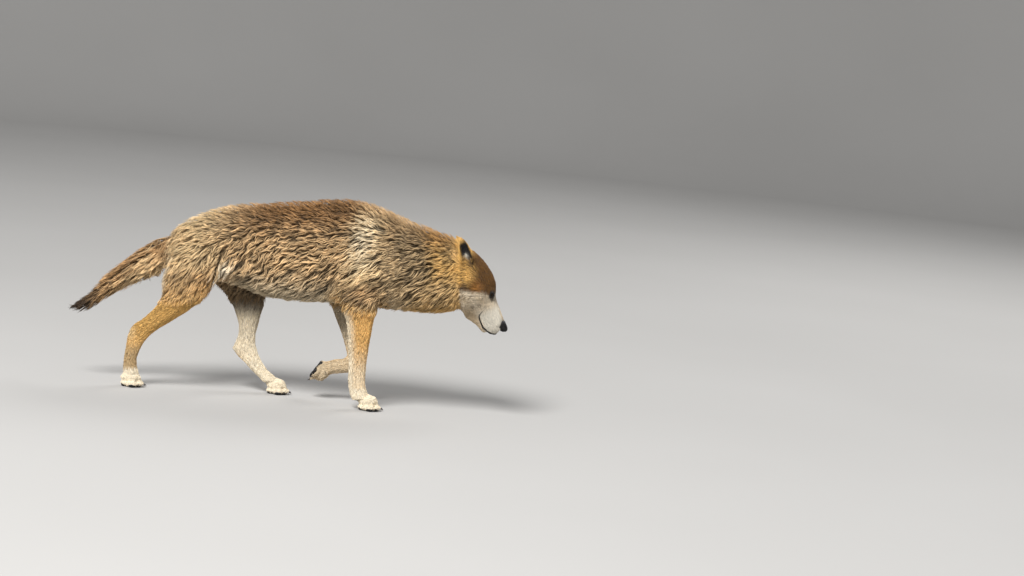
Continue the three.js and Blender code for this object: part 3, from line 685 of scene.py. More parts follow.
class Markings(Body):
    """Colour of the hair at each point, and how dark its tips are. The skin and the coat share it."""

    def __init__(self, points, normals, nodes):
        super().__init__(points, nodes)
        self.forward, self.outward, self.upward = normals.T
        self.colours = bpy.context.scene.wolf_colours
        self.tint = np.tile(np.array(self.colours.side), (len(points), 1))
        self.smoke = np.full(len(points), 0.25)

    def lay(self, colour, mask, smoke=None):
        """Blends a colour in where mask is above 0."""
        mask = np.clip(mask, 0, 1)
        self.tint += mask[:, None] * (np.array(getattr(self.colours, colour)) - self.tint)
        if smoke is not None:
            self.smoke += mask * (smoke - self.smoke)

    def patch(self, colour, place, radii, share, smoke):
        """A soft spot of colour on the torso."""
        self.lay(colour, self.torso * self.near(place, radii) * share, smoke)

    def body(self):
        along, below, high, torso = self.along, self.below, self.high, self.torso
        thigh = self.on("thigh")
        self.lay("under", torso * (1 - smooth(high, 0.54, 0.68)) * smooth(along, 0.3, 0.42), 0.1)
        self.lay("mane", torso * smooth(along, 0.76, 0.83), 0.15)
        self.lay("tawny", thigh * (1 - smooth(high, 0.42, 0.66)) * 0.55, 0.15)
        self.lay("tawny", thigh * smooth(self.forward, 0.1, 0.7) * (self.points[:, 1] < 0) * 0.6, 0.25)
        self.lay("tawny", self.on("shoulder") * (1 - smooth(high, 0.5, 0.66)) * 0.8, 0.1)
        # The dusky whorl of the shoulder, and what borders it before and below.
        whorl = smooth(self.near((0.765, 0.72), (0.1, 0.24)), 0.1, 0.6)
        self.lay("hock", torso * whorl * 0.9, 0.55)
        self.patch("hock", (0.69, 0.57), (0.06, 0.08), 0.7, 0.4)
        self.patch("hock", (0.84, 0.62), (0.12, 0.14), 0.8, 0.4)
        self.patch("back", (0.835, 0.86), (0.08, 0.09), 0.7, 0.4)
        self.patch("band", (0.865, 0.79), (0.05, 0.08), 0.35, 0.1)
        # The brown back, the dark saddle and the pale fan behind the shoulder.
        upper = smooth(along, 0.33, 0.45) * (1 - smooth(along, 0.62, 0.7))
        self.lay("back", torso * (1 - smooth(below, 0.05, 0.2)) * upper, 0.6)
        crest = torso * (1 - smooth(below, 0.0, 0.06)) * smooth(along, 0.6, 0.7)
        self.lay("back", crest * 0.6, 0.6)
        band = smooth(along, 0.625, 0.66) * (1 - smooth(along, 0.685, 0.73)) * smooth(below, 0.02, 0.1)
        self.lay("band", torso * band * (1 - smooth(below, 0.3, 0.5)), 0.05)
        saddle = smooth(along, 0.54, 0.58) * (1 - smooth(along, 0.62, 0.65)) * (1 - smooth(below, 0.02, 0.1))
        self.lay("dark", torso * saddle * 0.25, 0.7)
        fan = self.near((0.672, 0.82), (0.045, 0.18)) * smooth(below, 0.03, 0.09)
        self.lay("cream", torso * fan * 0.6, 0.0)
        elbow = smooth(self.near((0.685, 0.58), (0.065, 0.085)), 0.0, 0.5)
        self.lay("hock", torso * elbow * 0.85, 0.5)
        self.patch("back", (0.685, 0.6), (0.07, 0.09), 0.55, 0.5)
        # The paler rump, its cream seat, and the cream fold before the thigh.
        rear = (1 - smooth(along, 0.27, 0.38)) * smooth(high, 0.55, 0.7)
        self.lay("band", torso * rear * 0.8, 0.15)
        self.patch("back", (0.325, 0.58), (0.06, 0.1), 0.6, 0.4)
        self.patch("side", (0.215, 0.76), (0.06, 0.12), 0.8, 0.3)
        seat = torso * smooth(-self.forward, 0.35, 0.8) * (1 - smooth(along, 0.24, 0.3))
        self.lay("cream", seat * self.near((0.19, 0.6), (0.1, 0.16)) * 0.8, 0.0)
        fold = self.near((0.358, 0.645), (0.03, 0.045)) + self.near((0.34, 0.595), (0.02, 0.055))
        self.lay("cream", self.on("trunk", "thigh") * smooth(fold, 0.1, 0.5), 0.0)
        self.lay("under", self.on("trunk") * smooth(-self.upward, 0.5, 0.9), 0.0)

    def tail(self):
        on = self.on("tail")
        self.lay("side", on, 0.35)
        self.lay("back", on * 0.5)
        self.lay("back", on * smooth(self.upward, -0.1, 0.7) * 0.45, 0.5)
        self.lay("band", on * smooth(-self.upward, -0.3, 0.4) * smooth(self.along, 0.08, 0.18) * 0.9, 0.15)
        self.lay("dark", on * (1 - smooth(self.along, 0.03, 0.1)) * 0.95, 1.0)

    def legs(self):
        high = self.high
        lower = self.on("limb", "instep", "paw")
        near_hind, far_hind, near_fore, far_fore = (
            self.node(*LEGS[leg][1:]) for leg in ("hind_right", "hind_left", "fore_right", "fore_left"))
        self.lay("tawny", lower, 0.05)
        self.lay("mane", self.node("shank_right") * smooth(high, 0.22, 0.3), 0.1)
        self.lay("hock", near_hind * (1 - smooth(high, 0.16, 0.26)) * 0.85, 0.3)
        self.lay("band", near_hind * self.near((0.148, 0.27), (0.02, 0.06)) * 0.7)
        self.lay("under", far_hind, 0.15)
        self.lay("cream", far_hind * (1 - smooth(high, 0.32, 0.4)), 0.0)
        self.lay("tawny", far_hind * self.near((0.385, 0.17), (0.022, 0.07)) * 0.8, 0.1)
        self.lay("cream", near_fore * (1 - smooth(high, 0.16, 0.36)) * 0.75, 0.0)
        self.lay("cream", near_fore * smooth(-self.forward, 0.1, 0.6) * 0.9, 0.0)
        self.lay("hock", far_fore * smooth(high, 0.2, 0.34) * 0.8, 0.3)
        self.lay("cream", far_fore * (1 - smooth(high, 0.18, 0.26)) * 0.6, 0.0)
        inner = smooth(-np.sign(self.points[:, 1]) * self.outward, 0.1, 0.7)
        self.lay("cream", lower * inner * 0.8, 0.0)
        self.lay("cream", self.on("paw") + smooth(-high, -0.11, -0.06), 0.0)
        # Painted shade: the upper far legs are darkened with the dark colour, where the belly's shade falls
        # on them.
        for nodes, start, end, share in ((("shank_left", "thigh_left"), (0.36, 0.44), (0.52, 0.6), 0.75),
                                         (("forearm_left", "shoulder_left"), (0.3, 0.4), (0.5, 0.56), 0.45)):
            painted_shade = self.node(*nodes) * smooth(high, *start) * (1 - smooth(high, *end))
            self.lay("dark", painted_shade * share, 0.3)
        # Painted shade: the lifted forefoot is greyed with the hock colour, standing in for the shade it lies
        # in.
        self.lay("hock", self.node("instep_fore_left", "paw_fore_left") * 0.6, 0.2)

    def face(self):
        back, up, out = Head().local(self.points).T
        wide = np.abs(out)
        spot, mirrored = np.column_stack([back, up]), np.column_stack([back, up, wide])
        on = self.on_face
        self.lay("crown", on, 0.5)
        self.lay("mane", on * smooth(back, 190, 225) * (1 - smooth(up, -34, -8)) * 0.9, 0.2)
        self.lay("mane", on * smooth(back, 245, 290), 0.3)
        self.lay("mane", on * bump_at(spot, (214, -46), (42, 40)), 0.1)
        self.lay("rust", on * bump_at(spot, (170, -32), (32, 26)) * 0.8, 0.1)
        # The pale cheek and muzzle, with a wavering edge, and the white of the snout.
        ripple = 3 * np.sin(up * 0.31 + out * 0.23) + 2.5 * np.sin(out * 0.41 - back * 0.17)
        edge = 122 + np.clip(-5 - up, 0, 80) * 0.95 + ripple
        front = 1 - smooth(wide, 22, 40)
        self.lay("cheek", on * (1 - smooth(back, edge - 4 - 12 * front, edge + 6 + 8 * front)), 0.0)
        self.lay("snout", on * (1 - smooth(back, 66, 96)) * smooth(up, -74, -64), 0.0)
        self.lay("snout", on * bump_at(mirrored, (108, 0, 20), (26, 14, 16)), 0.0)
        for place, size, share in (((112, -74), 9, 0.8), ((108, -54), 8, 0.7), ((93, -41), 6, 0.7),
                                   ((193, -66), 14, 0.8), ((200, -58), 9, 0.7)):
            self.lay("dark", on * bump_at(spot, place, (size, size * 1.2)) * share)
        for place, radii, share, smoke in (((150, -84), (34, 24), 0.5, 0.2),
                                           ((118, -40), (20, 14), 0.25, 0.1)):
            self.lay("hock", on * bump_at(spot, place, radii) * share, smoke)
        self.lay("hock", on * (1 - smooth(up, -86, -74)) * (1 - smooth(back, 90, 140)) * 0.5, 0.0)
        bridge = on * (1 - smooth(wide, 5, 17)) * smooth(up, -9, -1)
        self.lay("hock", bridge * (1 - smooth(back, 50, 90)) * 0.7, 0.1)
        self.lay("crown", bridge * smooth(back, 60, 124) * 0.6, 0.3)
        # Dark round the nose, the eye and its tear line; round the eye it is partly its dark rim and partly
        # painted shade under the brow.
        self.lay("dark", on * bump_at(spot, (22, -6), (16, 12)) * 0.6, 0.2)
        self.lay("dark", on * smooth(bump_at(mirrored, (130, -4, 34), (23, 19, 22)), 0.06, 0.24), 0.2)
        self.lay("dark", on * smooth(bump_at(mirrored, (113, -9, 28), (20, 8, 13)), 0.08, 0.4) * 0.95, 0.1)
        # The ear: golden, with a dark hollow, partly its own dark skin and partly painted shade in its cup, a
        # pale tuft in it and a dark corner before its base.
        ear = self.on("ear")
        self.lay("mane", ear, 0.0)
        hollow = ear * smooth(np.sign(self.points[:, 1]) * self.outward + 0.3 * self.forward, 0.1, 0.5)
        run = np.clip((back - 245) / 106, 0, 1)
        across = np.abs(up + 33 - 11 * run) / (1 + 22 * np.sqrt(1 - run ** 3))
        self.lay("leather", hollow * (1 - smooth(across, 0.66, 0.86)) * (1 - smooth(back, 325, 338)), 0.0)
        self.lay("snout", hollow * bump_at(spot, (280, -31), (16, 12)), 0.0)
        self.lay("dark", (ear + on) * bump_at(spot, (246, -22), (20, 14)) * 0.9, 0.3)

    def paint(self):
        for part in (self.body, self.tail, self.legs, self.face):
            part()
        return self


# ---- Node trees in few words ----


class Nodes:
    """Adds nodes to a tree, with their inputs linked or set. Each call gives the new node's output."""

    def __init__(self, tree):
        self.tree = tree

    def add(self, kind, inputs=(), out=0, **settings):
        node = self.tree.nodes.new(kind)
        for name, value in settings.items():
            setattr(node, name, value)
        for key, value in dict(inputs).items():
            if isinstance(value, bpy.types.NodeSocket):
                self.tree.links.new(value, node.inputs[key])
            else:
                node.inputs[key].default_value = value
        return node.outputs[out]

    def math(self, operation, *values):
        return self.add("ShaderNodeMath", enumerate(values), operation=operation)

    def times(self, first, *others):
        for other in others:
            first = self.math("MULTIPLY", first, other)
        return first

    def line(self, value, slope, start):
        """start + slope * value"""
        return self.math("MULTIPLY_ADD", value, slope, start)

    def vector(self, operation, *values):
        return self.add("ShaderNodeVectorMath", enumerate(values), operation=operation)

    def scaled(self, vector, by):
        return self.add("ShaderNodeVectorMath", {0: vector, "Scale": by}, operation="SCALE")

    def moved(self, start, way, by):
        """start + way * by"""
        return self.vector("ADD", start, self.scaled(way, by))

    def between(self, start, end, share):
        """The point or direction at a share of the way from start to end."""
        return self.moved(start, self.vector("SUBTRACT", end, start), share)

    def dot(self, first, second):
        return self.add("ShaderNodeVectorMath", {0: first, 1: second}, "Value", operation="DOT_PRODUCT")

    def parts(self, vector):
        return tuple(self.add("ShaderNodeSeparateXYZ", {0: vector}).node.outputs)[:3]

    def ramp(self, value, low, high, start=0.0, end=1.0):
        """start below low, end above high, eased between."""
        return self.add("ShaderNodeMapRange", {0: value, 1: low, 2: high, 3: start, 4: end},
                        interpolation_type="SMOOTHSTEP")

    def mix(self, share, first, second):
        return self.add("ShaderNodeMix", {0: share, 6: first, 7: second}, 2, data_type="RGBA")

    def attribute(self, name, out="Fac"):
        """What the mesh holds under a name, in a material."""
        return self.add("ShaderNodeAttribute", out=out, attribute_name=name)

    def grain(self, scale, detail=2.0):
        """Noise in the object's own space, in a material."""
        return self.add("ShaderNodeTexNoise", {
            "Vector": self.add("ShaderNodeTexCoord", out="Object"), "Scale": scale, "Detail": detail}, "Fac")


def new_tree(name, inputs):
    """A Geometry Nodes tree with these named inputs, given as name: (socket type, default)."""
    tree = bpy.data.node_groups.new(name, "GeometryNodeTree")
    tree.is_modifier = True
    tree.interface.new_socket("Geometry", in_out="INPUT", socket_type="NodeSocketGeometry")
    for label, (kind, default) in inputs.items():
        socket = tree.interface.new_socket(label, in_out="INPUT", socket_type="NodeSocket" + kind)
        if default is not None:
            socket.default_value = default
    tree.interface.new_socket("Geometry", in_out="OUTPUT", socket_type="NodeSocketGeometry")
    return tree


def grow(thing, tree, values):
    """Runs a tree on an object with these inputs, and makes the result plain."""
    modifier = thing.modifiers.new(tree.name, "NODES")
    modifier.node_group = tree
    for item in tree.interface.items_tree:
        if item.item_type == "SOCKET" and item.in_out == "INPUT" and item.name in values:
            modifier[item.identifier] = values[item.name]
    return made_plain(thing)


# ---- The coat's tree ----

LOCK_INPUTS = {
    "Piece": ("Int", 0), "Spacing": ("Float", 0.008), "Seed": ("Int", 0), "Sides": ("Int", 3),
    "Rings": ("Int", 8), "Depth": ("Float", 1.0), "Length": ("Float", 1.0), "Width": ("Float", 1.0),
    "Flatness": ("Float", 0.55), "Stray": ("Float", 0.5), "Swirl": ("Float", 0.5), "Clump": ("Float", 0.7),
    "Clump size": ("Float", 0.01), "Curl": ("Float", 0.003), "Curl size": ("Float", 0.03),
    "Loose": ("Float", 0.2), "Turn from": ("Float", 0.0), "Turn to": ("Float", 1.0), "Lanes": ("Float", 1.0),
    "Material": ("Material", None),
}
# Attributes that the locks don't need once they have grown.
SPENT = ("form", "root", "clump", "lie", "up", "reach", "depth", "breadth", "crimp", "follow", "cover",
         "wrap", "lane")
DENSEST = 2.2           # roots tried for each square of the spacing
PRESSED = 0.45          # share of its lift that a lock keeps at the edge of its clump
SUNK_MOST, SUNK_SHARE = 0.0012, 0.25    # how far a root is sunk: this far, or this share of the depth
UNDER_SKIN = -0.002     # a lock that would run this far under the skin is brought back to it
SWELL_START = 0.16      # where on its half wave the swelling of a lock starts


def coat_tree():
    """Grows pointed locks from the skin along the lie of the hair, and sets each on its patch of the map."""
    tree = new_tree("Coat of locks", LOCK_INPUTS)
    n = Nodes(tree)
    asked = tree.nodes.new("NodeGroupInput").outputs
    skin = asked["Geometry"]

    def kept(name, kind="FLOAT"):
        return n.add("GeometryNodeInputNamedAttribute", {"Name": name}, data_type=kind)

    def kept_way(name):
        return kept(name, "FLOAT_VECTOR")

    def keep(geometry, name, value, kind="FLOAT", domain="POINT"):
        return n.add("GeometryNodeStoreNamedAttribute", {"Geometry": geometry, "Name": name, "Value": value},
                     data_type=kind, domain=domain)

    # Roots, each with its own chance and its clump's fate.
    place = n.add("GeometryNodeInputPosition")
    chosen = n.add("FunctionNodeCompare", {2: kept("piece", "INT"), 3: asked["Piece"]},
                   data_type="INT", operation="EQUAL")
    roots = n.add("GeometryNodeDistributePointsOnFaces", {
        "Mesh": skin, "Selection": chosen, "Distance Min": asked["Spacing"],
        "Density Max": n.math("DIVIDE", DENSEST, n.math("POWER", asked["Spacing"], 2.0)),
        "Density Factor": kept("cover"), "Seed": asked["Seed"]}, distribute_method="POISSON")
    cell = n.add("ShaderNodeTexVoronoi", {
        "Vector": n.scaled(place, n.math("DIVIDE", 1.0, asked["Clump size"])), "Scale": 1.0}, "Position")
    rim = n.times(cell.node.outputs["Distance"], n.ramp(kept("crimp"), 0.1, 0.8, 0.6, 1.0))
    for name, value in (("root", place),
                        ("chance", n.add("FunctionNodeRandomValue", {"Seed": asked["Seed"]},
                                         data_type="FLOAT_VECTOR")),
                        ("clump", n.scaled(cell, asked["Clump size"])),
                        ("fate", cell.node.outputs["Color"])):
        roots = keep(roots, name, value, "FLOAT_VECTOR")
    roots = keep(roots, "edge", rim)
    cone = n.add("GeometryNodeMeshCone", {
        "Vertices": asked["Sides"], "Side Segments": asked["Rings"], "Radius Top": 0.0,
        "Radius Bottom": 1.0, "Depth": 1.0}, fill_type="NGON")
    cone = keep(cone, "form", place, "FLOAT_VECTOR")
    locks = n.add("GeometryNodeInstanceOnPoints", {"Points": roots, "Instance": cone})
    locks = n.add("GeometryNodeRealizeInstances", {"Geometry": locks})

    form_x, form_y, step = n.parts(kept_way("form"))    # step runs from 0 at the root to 1 at the point
    ring = n.vector("NORMALIZE", n.add("ShaderNodeCombineXYZ", {0: form_x, 1: form_y}))
    ring_x, ring_y, _ = n.parts(ring)
    chance_x, chance_y, chance_z = n.parts(kept_way("chance"))
    fate_x, fate_y, fate_z = n.parts(kept_way("fate"))
    lie, up = kept_way("lie"), kept_way("up")
    root, clump = kept_way("root"), kept_way("clump")

    # The straight line of the lock, drawn towards the middle of its clump.
    turned = n.math("ADD", n.times(n.math("SUBTRACT", chance_x, 0.5), asked["Stray"]),
                    n.times(n.math("SUBTRACT", fate_x, 0.5), asked["Swirl"]))
    line = n.vector("NORMALIZE", n.moved(lie, n.vector("CROSS_PRODUCT", up, lie), turned))
    share = n.math("ADD", n.times(chance_z, 0.35), n.line(fate_z, 0.35, 0.65))
    reach = n.times(kept("reach"), asked["Length"], share)
    pull = n.vector("SUBTRACT", clump, root)
    pull = n.vector("SUBTRACT", pull, n.scaled(up, n.dot(pull, up)))
    onward = n.scaled(line, n.times(reach, step))
    straight = n.moved(n.vector("ADD", root, onward), pull, n.times(asked["Clump"], n.ramp(step, 0.0, 0.8)))

    # The same line laid on the skin, from which its end may stand loose.
    near, near_up = (n.add("GeometryNodeSampleNearestSurface", {
        "Mesh": skin, "Value": value, "Sample Position": straight}, data_type="FLOAT_VECTOR")
        for value in (place, up))
    above = n.dot(n.vector("SUBTRACT", straight, near), near_up)
    follow = n.math("MAXIMUM", kept("follow"), n.ramp(above, UNDER_SKIN, 0.0, 1.0, 0.0))
    ground = n.between(straight, near, follow)
    ground_up = n.vector("NORMALIZE", n.between(up, near_up, follow))
    centre = n.between(ground, straight, n.times(asked["Loose"], n.math("POWER", step, 2.0)))

    # Its lift from the skin, less at the edge of its clump, and its curl.
    rise = n.math("SUBTRACT", 1.0, n.math("POWER", n.math("SUBTRACT", 1.0, step), 2.0))
    share = n.math("ADD", n.times(chance_y, 0.2), n.line(fate_y, 0.3, 0.58))
    lift = n.times(kept("depth"), asked["Depth"], share, n.ramp(kept("edge"), 0.35, 0.8, 1.0, PRESSED), rise)
    sunk = n.math("MINIMUM", SUNK_MOST, n.times(kept("depth"), SUNK_SHARE))
    centre = n.moved(centre, ground_up, n.math("SUBTRACT", lift, sunk))
    swirl = n.add("ShaderNodeTexNoise", {
        "Vector": n.scaled(n.vector("ADD", clump, onward), n.math("DIVIDE", 1.0, asked["Curl size"])),
        "Scale": 1.0, "Detail": 0.0}, "Color")
    swirl = n.vector("SUBTRACT", swirl, (0.5, 0.5, 0.5))
    centre = n.moved(centre, swirl, n.times(asked["Curl"], kept("crimp"), n.ramp(step, 0.0, 0.6, 0.0, 4.0)))

    # Its section: a flattened ring that swells past the root and narrows to a point.
    swell = n.math("SINE", n.line(step, (1 - SWELL_START) * math.pi, SWELL_START * math.pi))
    width = n.times(kept("breadth"), asked["Width"], n.line(chance_z, 0.3, 0.35), n.math("POWER", swell, 0.8))
    across = n.vector("NORMALIZE", n.vector("CROSS_PRODUCT", ground_up, line))
    section = n.moved(n.scaled(across, n.times(ring_y, width)),
                      ground_up, n.times(ring_x, width, asked["Flatness"]))
    locks = n.add("GeometryNodeSetPosition", {
        "Geometry": locks, "Position": n.vector("ADD", centre, section)})
    locks = keep(locks, "step", step)
    # How dark the root is painted: painted shade, darker where the coat is deep.
    locks = keep(locks, "shade", n.ramp(kept("depth"), 0.004, 0.018, 0.84, 0.42))

    # Its patch of the map, placed by where its root lies along and round the piece.
    run, cosine, sine = n.parts(kept_way("wrap"))
    turn = n.line(n.math("ARCTAN2", sine, cosine), 0.5 / math.pi, 0.5)
    turn = n.add("ShaderNodeMapRange", {0: turn, 1: asked["Turn from"], 2: asked["Turn to"], 3: 0.0, 4: 1.0})
    turn = n.math("DIVIDE", n.math("ADD", turn, kept("lane")), asked["Lanes"])
    on_map = [n.line(value, 1 - PATCH, n.times(inside, PATCH))
              for value, inside in ((run, n.line(ring_x, 0.5, 0.5)), (turn, step))]
    locks = keep(locks, "OFBake", n.add("ShaderNodeCombineXYZ", enumerate(on_map)), "FLOAT2", "CORNER")
    for name in SPENT:
        locks = n.add("GeometryNodeRemoveAttribute", {"Geometry": locks, "Name": name})
    locks = n.add("GeometryNodeSetShadeSmooth", {"Geometry": locks})
    locks = n.add("GeometryNodeSetMaterial", {"Geometry": locks, "Material": asked["Material"]})
    tree.links.new(locks, tree.nodes.new("NodeGroupOutput").inputs[0])
    return tree


# ---- Materials ----


def opaque(colour, by=1.0):
    """A colour, made lighter or darker, as a shader socket takes it."""
    return (*(np.array(colour) * by), 1.0)


def new_material(name, roughness, **steady):
    """A Principled material, with steady values on the shader's own sockets, its nodes and its shader."""
    material = bpy.data.materials.new(name)
    material.use_nodes = True
    shader = material.node_tree.nodes["Principled BSDF"]
    shader.inputs["Roughness"].default_value = roughness
    for label, value in steady.items():
        shader.inputs[label.replace("_", " ")].default_value = value
    return material, Nodes(material.node_tree), shader


def dress(n, shader, colour, height=None, strength=1.0, distance=0.001):
    """Gives a shader its colour, and a bump where there is a height."""
    n.tree.links.new(colour, shader.inputs["Base Color"])
    if height is not None:
        values = {"Strength": strength, "Distance": distance, "Height": height}
        bump = n.add("ShaderNodeBump", values, "Normal")
        n.tree.links.new(bump, shader.inputs["Normal"])


def mottle_of(n, share):
    """Soft patches a few centimetres across, lighter and darker, the same in the coat and on the skin."""
    return n.line(n.ramp(n.grain(24.0, 3.0), 0.3, 0.7, -0.26, 0.22), share, 1.0)


def hair_material():
    """Hair darker to its root, partly its underfur and partly painted shade that deepens with the coat, and
    darker at its clump's edge as painted shade, with dark tips where the markings ask, and no two locks
    alike.
    """
    material, n, shader = new_material("Hair", 0.82, Specular_IOR_Level=0.14, Sheen_Weight=0.05)
    step, tint = n.attribute("step"), n.attribute("tint", "Color")
    luck_x, luck_y, _ = n.parts(n.attribute("chance", "Vector"))
    _, fate_y, fate_z = n.parts(n.attribute("fate", "Vector"))
    # Painted shade: darker at the edge of each clump, in the cracks between clumps, a little lighter in its
    # middle, and darker towards the root by the shade attribute.
    lit = n.times(n.line(luck_y, 0.18, 0.91), n.line(fate_y, 0.3, 0.85), n.line(n.grain(260.0), 0.5, 0.75),
                  mottle_of(n, n.ramp(n.attribute("shade"), 0.45, 0.75, 1.0, 0.2)),
                  n.ramp(n.attribute("edge"), 0.42, 0.76, 1.14, 0.24),
                  n.ramp(step, 0.0, 0.4, n.attribute("shade"), 1.0))
    chosen = n.math("ADD", n.times(luck_x, 0.6), n.times(fate_z, 0.4))
    chosen = n.ramp(n.math("ADD", chosen, n.attribute("smoke")), 0.75, 1.15)
    dusk = n.times(n.ramp(step, 0.45, 0.95), chosen, 0.8)
    dress(n, shader, n.mix(dusk, n.scaled(tint, lit), opaque(bpy.context.scene.wolf_colours.dark)))
    return material


def skin_material():
    """The markings again under the coat, darkened as painted shade where the coat over them is deep, with
    bare dark leather where no hair grows.
    """
    material, n, shader = new_material("Skin", 0.75, Specular_IOR_Level=0.25)
    deep, grain = n.attribute("depth"), n.grain(420.0, 3.0)
    # Painted shade: the skin is darker under a deep coat.
    lit = n.times(n.ramp(deep, 0.003, 0.012, 0.85, 0.35), n.line(grain, 0.7, 0.65),
                  mottle_of(n, n.ramp(deep, 0.004, 0.016, 0.2, 1.0)))
    colour = n.mix(n.attribute("bare"), n.scaled(n.attribute("tint", "Color"), lit),
                   opaque(bpy.context.scene.wolf_colours.leather))
    dress(n, shader, colour, grain, 0.5)
    return material


def leather_material():
    """Moist black hide with a fine pebble, for the nose, the lips, the eyelids and the pads."""
    material, n, shader = new_material("Black hide", 0.5, Specular_IOR_Level=0.26, Coat_Weight=0.04,
                                       Coat_Roughness=0.3)
    where = n.add("ShaderNodeTexCoord", out="Object")
    pebble = n.add("ShaderNodeTexVoronoi", {"Vector": where, "Scale": 900.0}, "Distance")
    hide = np.array(bpy.context.scene.wolf_colours.leather)
    worn = n.mix(n.ramp(n.grain(160.0), 0.4, 0.75), opaque(hide), opaque(hide * 2.0 + 0.003))
    dress(n, shader, worn, pebble, 0.35, 0.0005)
    return material


def eye_material():
    """A dark amber iris, darkened further by painted shade from the brow, round a black pupil, under a wet
    clear coat. The ring is 0 at the pupil's middle.
    """
    material, n, shader = new_material("Eye", 0.15, Specular_IOR_Level=0.06, Coat_Weight=0.1,
                                       Coat_Roughness=0.02)
    ring = n.attribute("ring")
    iris = bpy.context.scene.wolf_colours.iris
    colour = n.mix(n.grain(700.0, 3.0), opaque(iris, 0.5), opaque(iris, 1.5))
    colour = n.mix(n.ramp(ring, 0.34, 0.42), colour, opaque((0.01, 0.006, 0.004)))      # rim of the iris
    colour = n.mix(n.ramp(ring, 0.43, 0.5), colour, opaque((0.03, 0.018, 0.013)))       # white of the eye
    colour = n.mix(n.ramp(ring, 0.13, 0.16), opaque((0.002, 0.002, 0.002)), colour)     # pupil
    dress(n, shader, colour)
    return material


def horn_material():
    """Dark claw, paler where it is worn, with a fine grain."""
    material, n, shader = new_material("Horn", 0.4, Specular_IOR_Level=0.5)
    grain = n.grain(500.0, 3.0)
    horn = bpy.context.scene.wolf_colours.horn
    dress(n, shader, n.mix(grain, opaque(horn, 0.5), opaque(horn, 2.4)), grain, 0.3, 0.0004)
    return material


def floor_material():
    """Plain pale studio floor."""
    material, n, shader = new_material("Pale floor", 0.8, Specular_IOR_Level=0.15)
    dress(n, shader, n.mix(n.grain(0.6), opaque((0.41, 0.4, 0.385)), opaque((0.45, 0.44, 0.425))))
    return material


MATERIALS = {"Hair": hair_material, "Skin": skin_material, "Black hide": leather_material,
             "Eye": eye_material, "Horn": horn_material, "Pale floor": floor_material}


def shared(name):
    """The material of that name, made once."""
    return bpy.data.materials.get(name) or MATERIALS[name]()


# ---- Pieces ----

LONG = {"Spacing": 0.0043, "Rings": 7, "Width": 0.54, "Curl": 0.0058, "Curl size": 0.027, "Loose": 0.25,
        "Stray": 0.22, "Swirl": 0.8, "Clump": 0.82, "Clump size": 0.012, "Flatness": 0.42}
SHORT = {"Spacing": 0.0028, "Rings": 3, "Width": 0.6, "Curl": 0.0005, "Curl size": 0.02, "Loose": 0.3,
         "Stray": 0.4, "Swirl": 0.3, "Clump": 0.5, "Clump size": 0.006, "Flatness": 0.45, "Depth": 0.75}
SLEEK, MANE = LONG | {"Rings": 6}, LONG | {"Spacing": 0.004}
HALF_RIGHT, HALF_LEFT = {"Turn from": 0.0, "Turn to": 0.5}, {"Turn from": 0.5, "Turn to": 1.0}
COAT_PIECES = {
    "rump_right": SLEEK | HALF_RIGHT, "rump_left": SLEEK | HALF_LEFT,
    "chest_right": LONG | HALF_RIGHT, "chest_left": LONG | HALF_LEFT,
    "mane_right": MANE | HALF_RIGHT, "mane_left": MANE | HALF_LEFT,
    "tail": SLEEK | {"Spacing": 0.0033, "Width": 0.45, "Curl": 0.0012, "Stray": 0.1, "Swirl": 0.12,
                     "Clump": 0.35, "Clump size": 0.013, "Loose": 0.1},
    "head": SHORT | {"Spacing": 0.0022, "Clump size": 0.005},
    "muzzle": SHORT | {"Spacing": 0.0016, "Clump size": 0.0035},
    "ears": SHORT | {"Spacing": 0.0019, "Lanes": 2.0, "Depth": 0.6, "Width": 0.7, "Length": 0.9,
                     "Loose": 0.0},
    "legs_hind": SHORT | {"Lanes": 2.0},
    "legs_fore": SHORT | {"Lanes": 2.0},
}
TORSO_CUTS = {"rump": (-1, 0.42), "chest": (0.42, 0.65), "mane": (0.65, 2)}     # shares of the body's length


def finish_piece(thing, material=None, replaces=()):
    """Gives a finished piece its material, hangs it on the body, and hides the frame's parts that it stands
    for.
    """
    if not thing.data.polygons:
        raise RuntimeError(f"{thing.name} came out with no faces")
    if material:
        thing.data.materials.clear()
        thing.data.materials.append(shared(material))
    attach(thing, "root")
    if replaces:
        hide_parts(*replaces)


def middle_line(across, share, steps=30):
    """The middle of a long shape's spread across it, at each point's share of its length."""
    bins = np.clip((share * steps).astype(int), 0, steps - 1)
    spots = np.unique(bins)
    centres = [(across[bins == b].min() + across[bins == b].max()) / 2 for b in spots]
    return np.interp(share * steps - 0.5, spots, centres)


def wrap_of(points, axis, first):
    """An unwrap of a long shape: share of its length, and place round its middle line."""
    run = points @ np.asarray(axis, float)
    share = (run - run.min()) / (run.max() - run.min())
    columns = [MARGIN + (1 - 2 * MARGIN) * share]
    for across in (points @ np.asarray(first, float), points @ np.cross(axis, first)):
        columns.append(across - middle_line(across, share))
    return np.column_stack(columns)


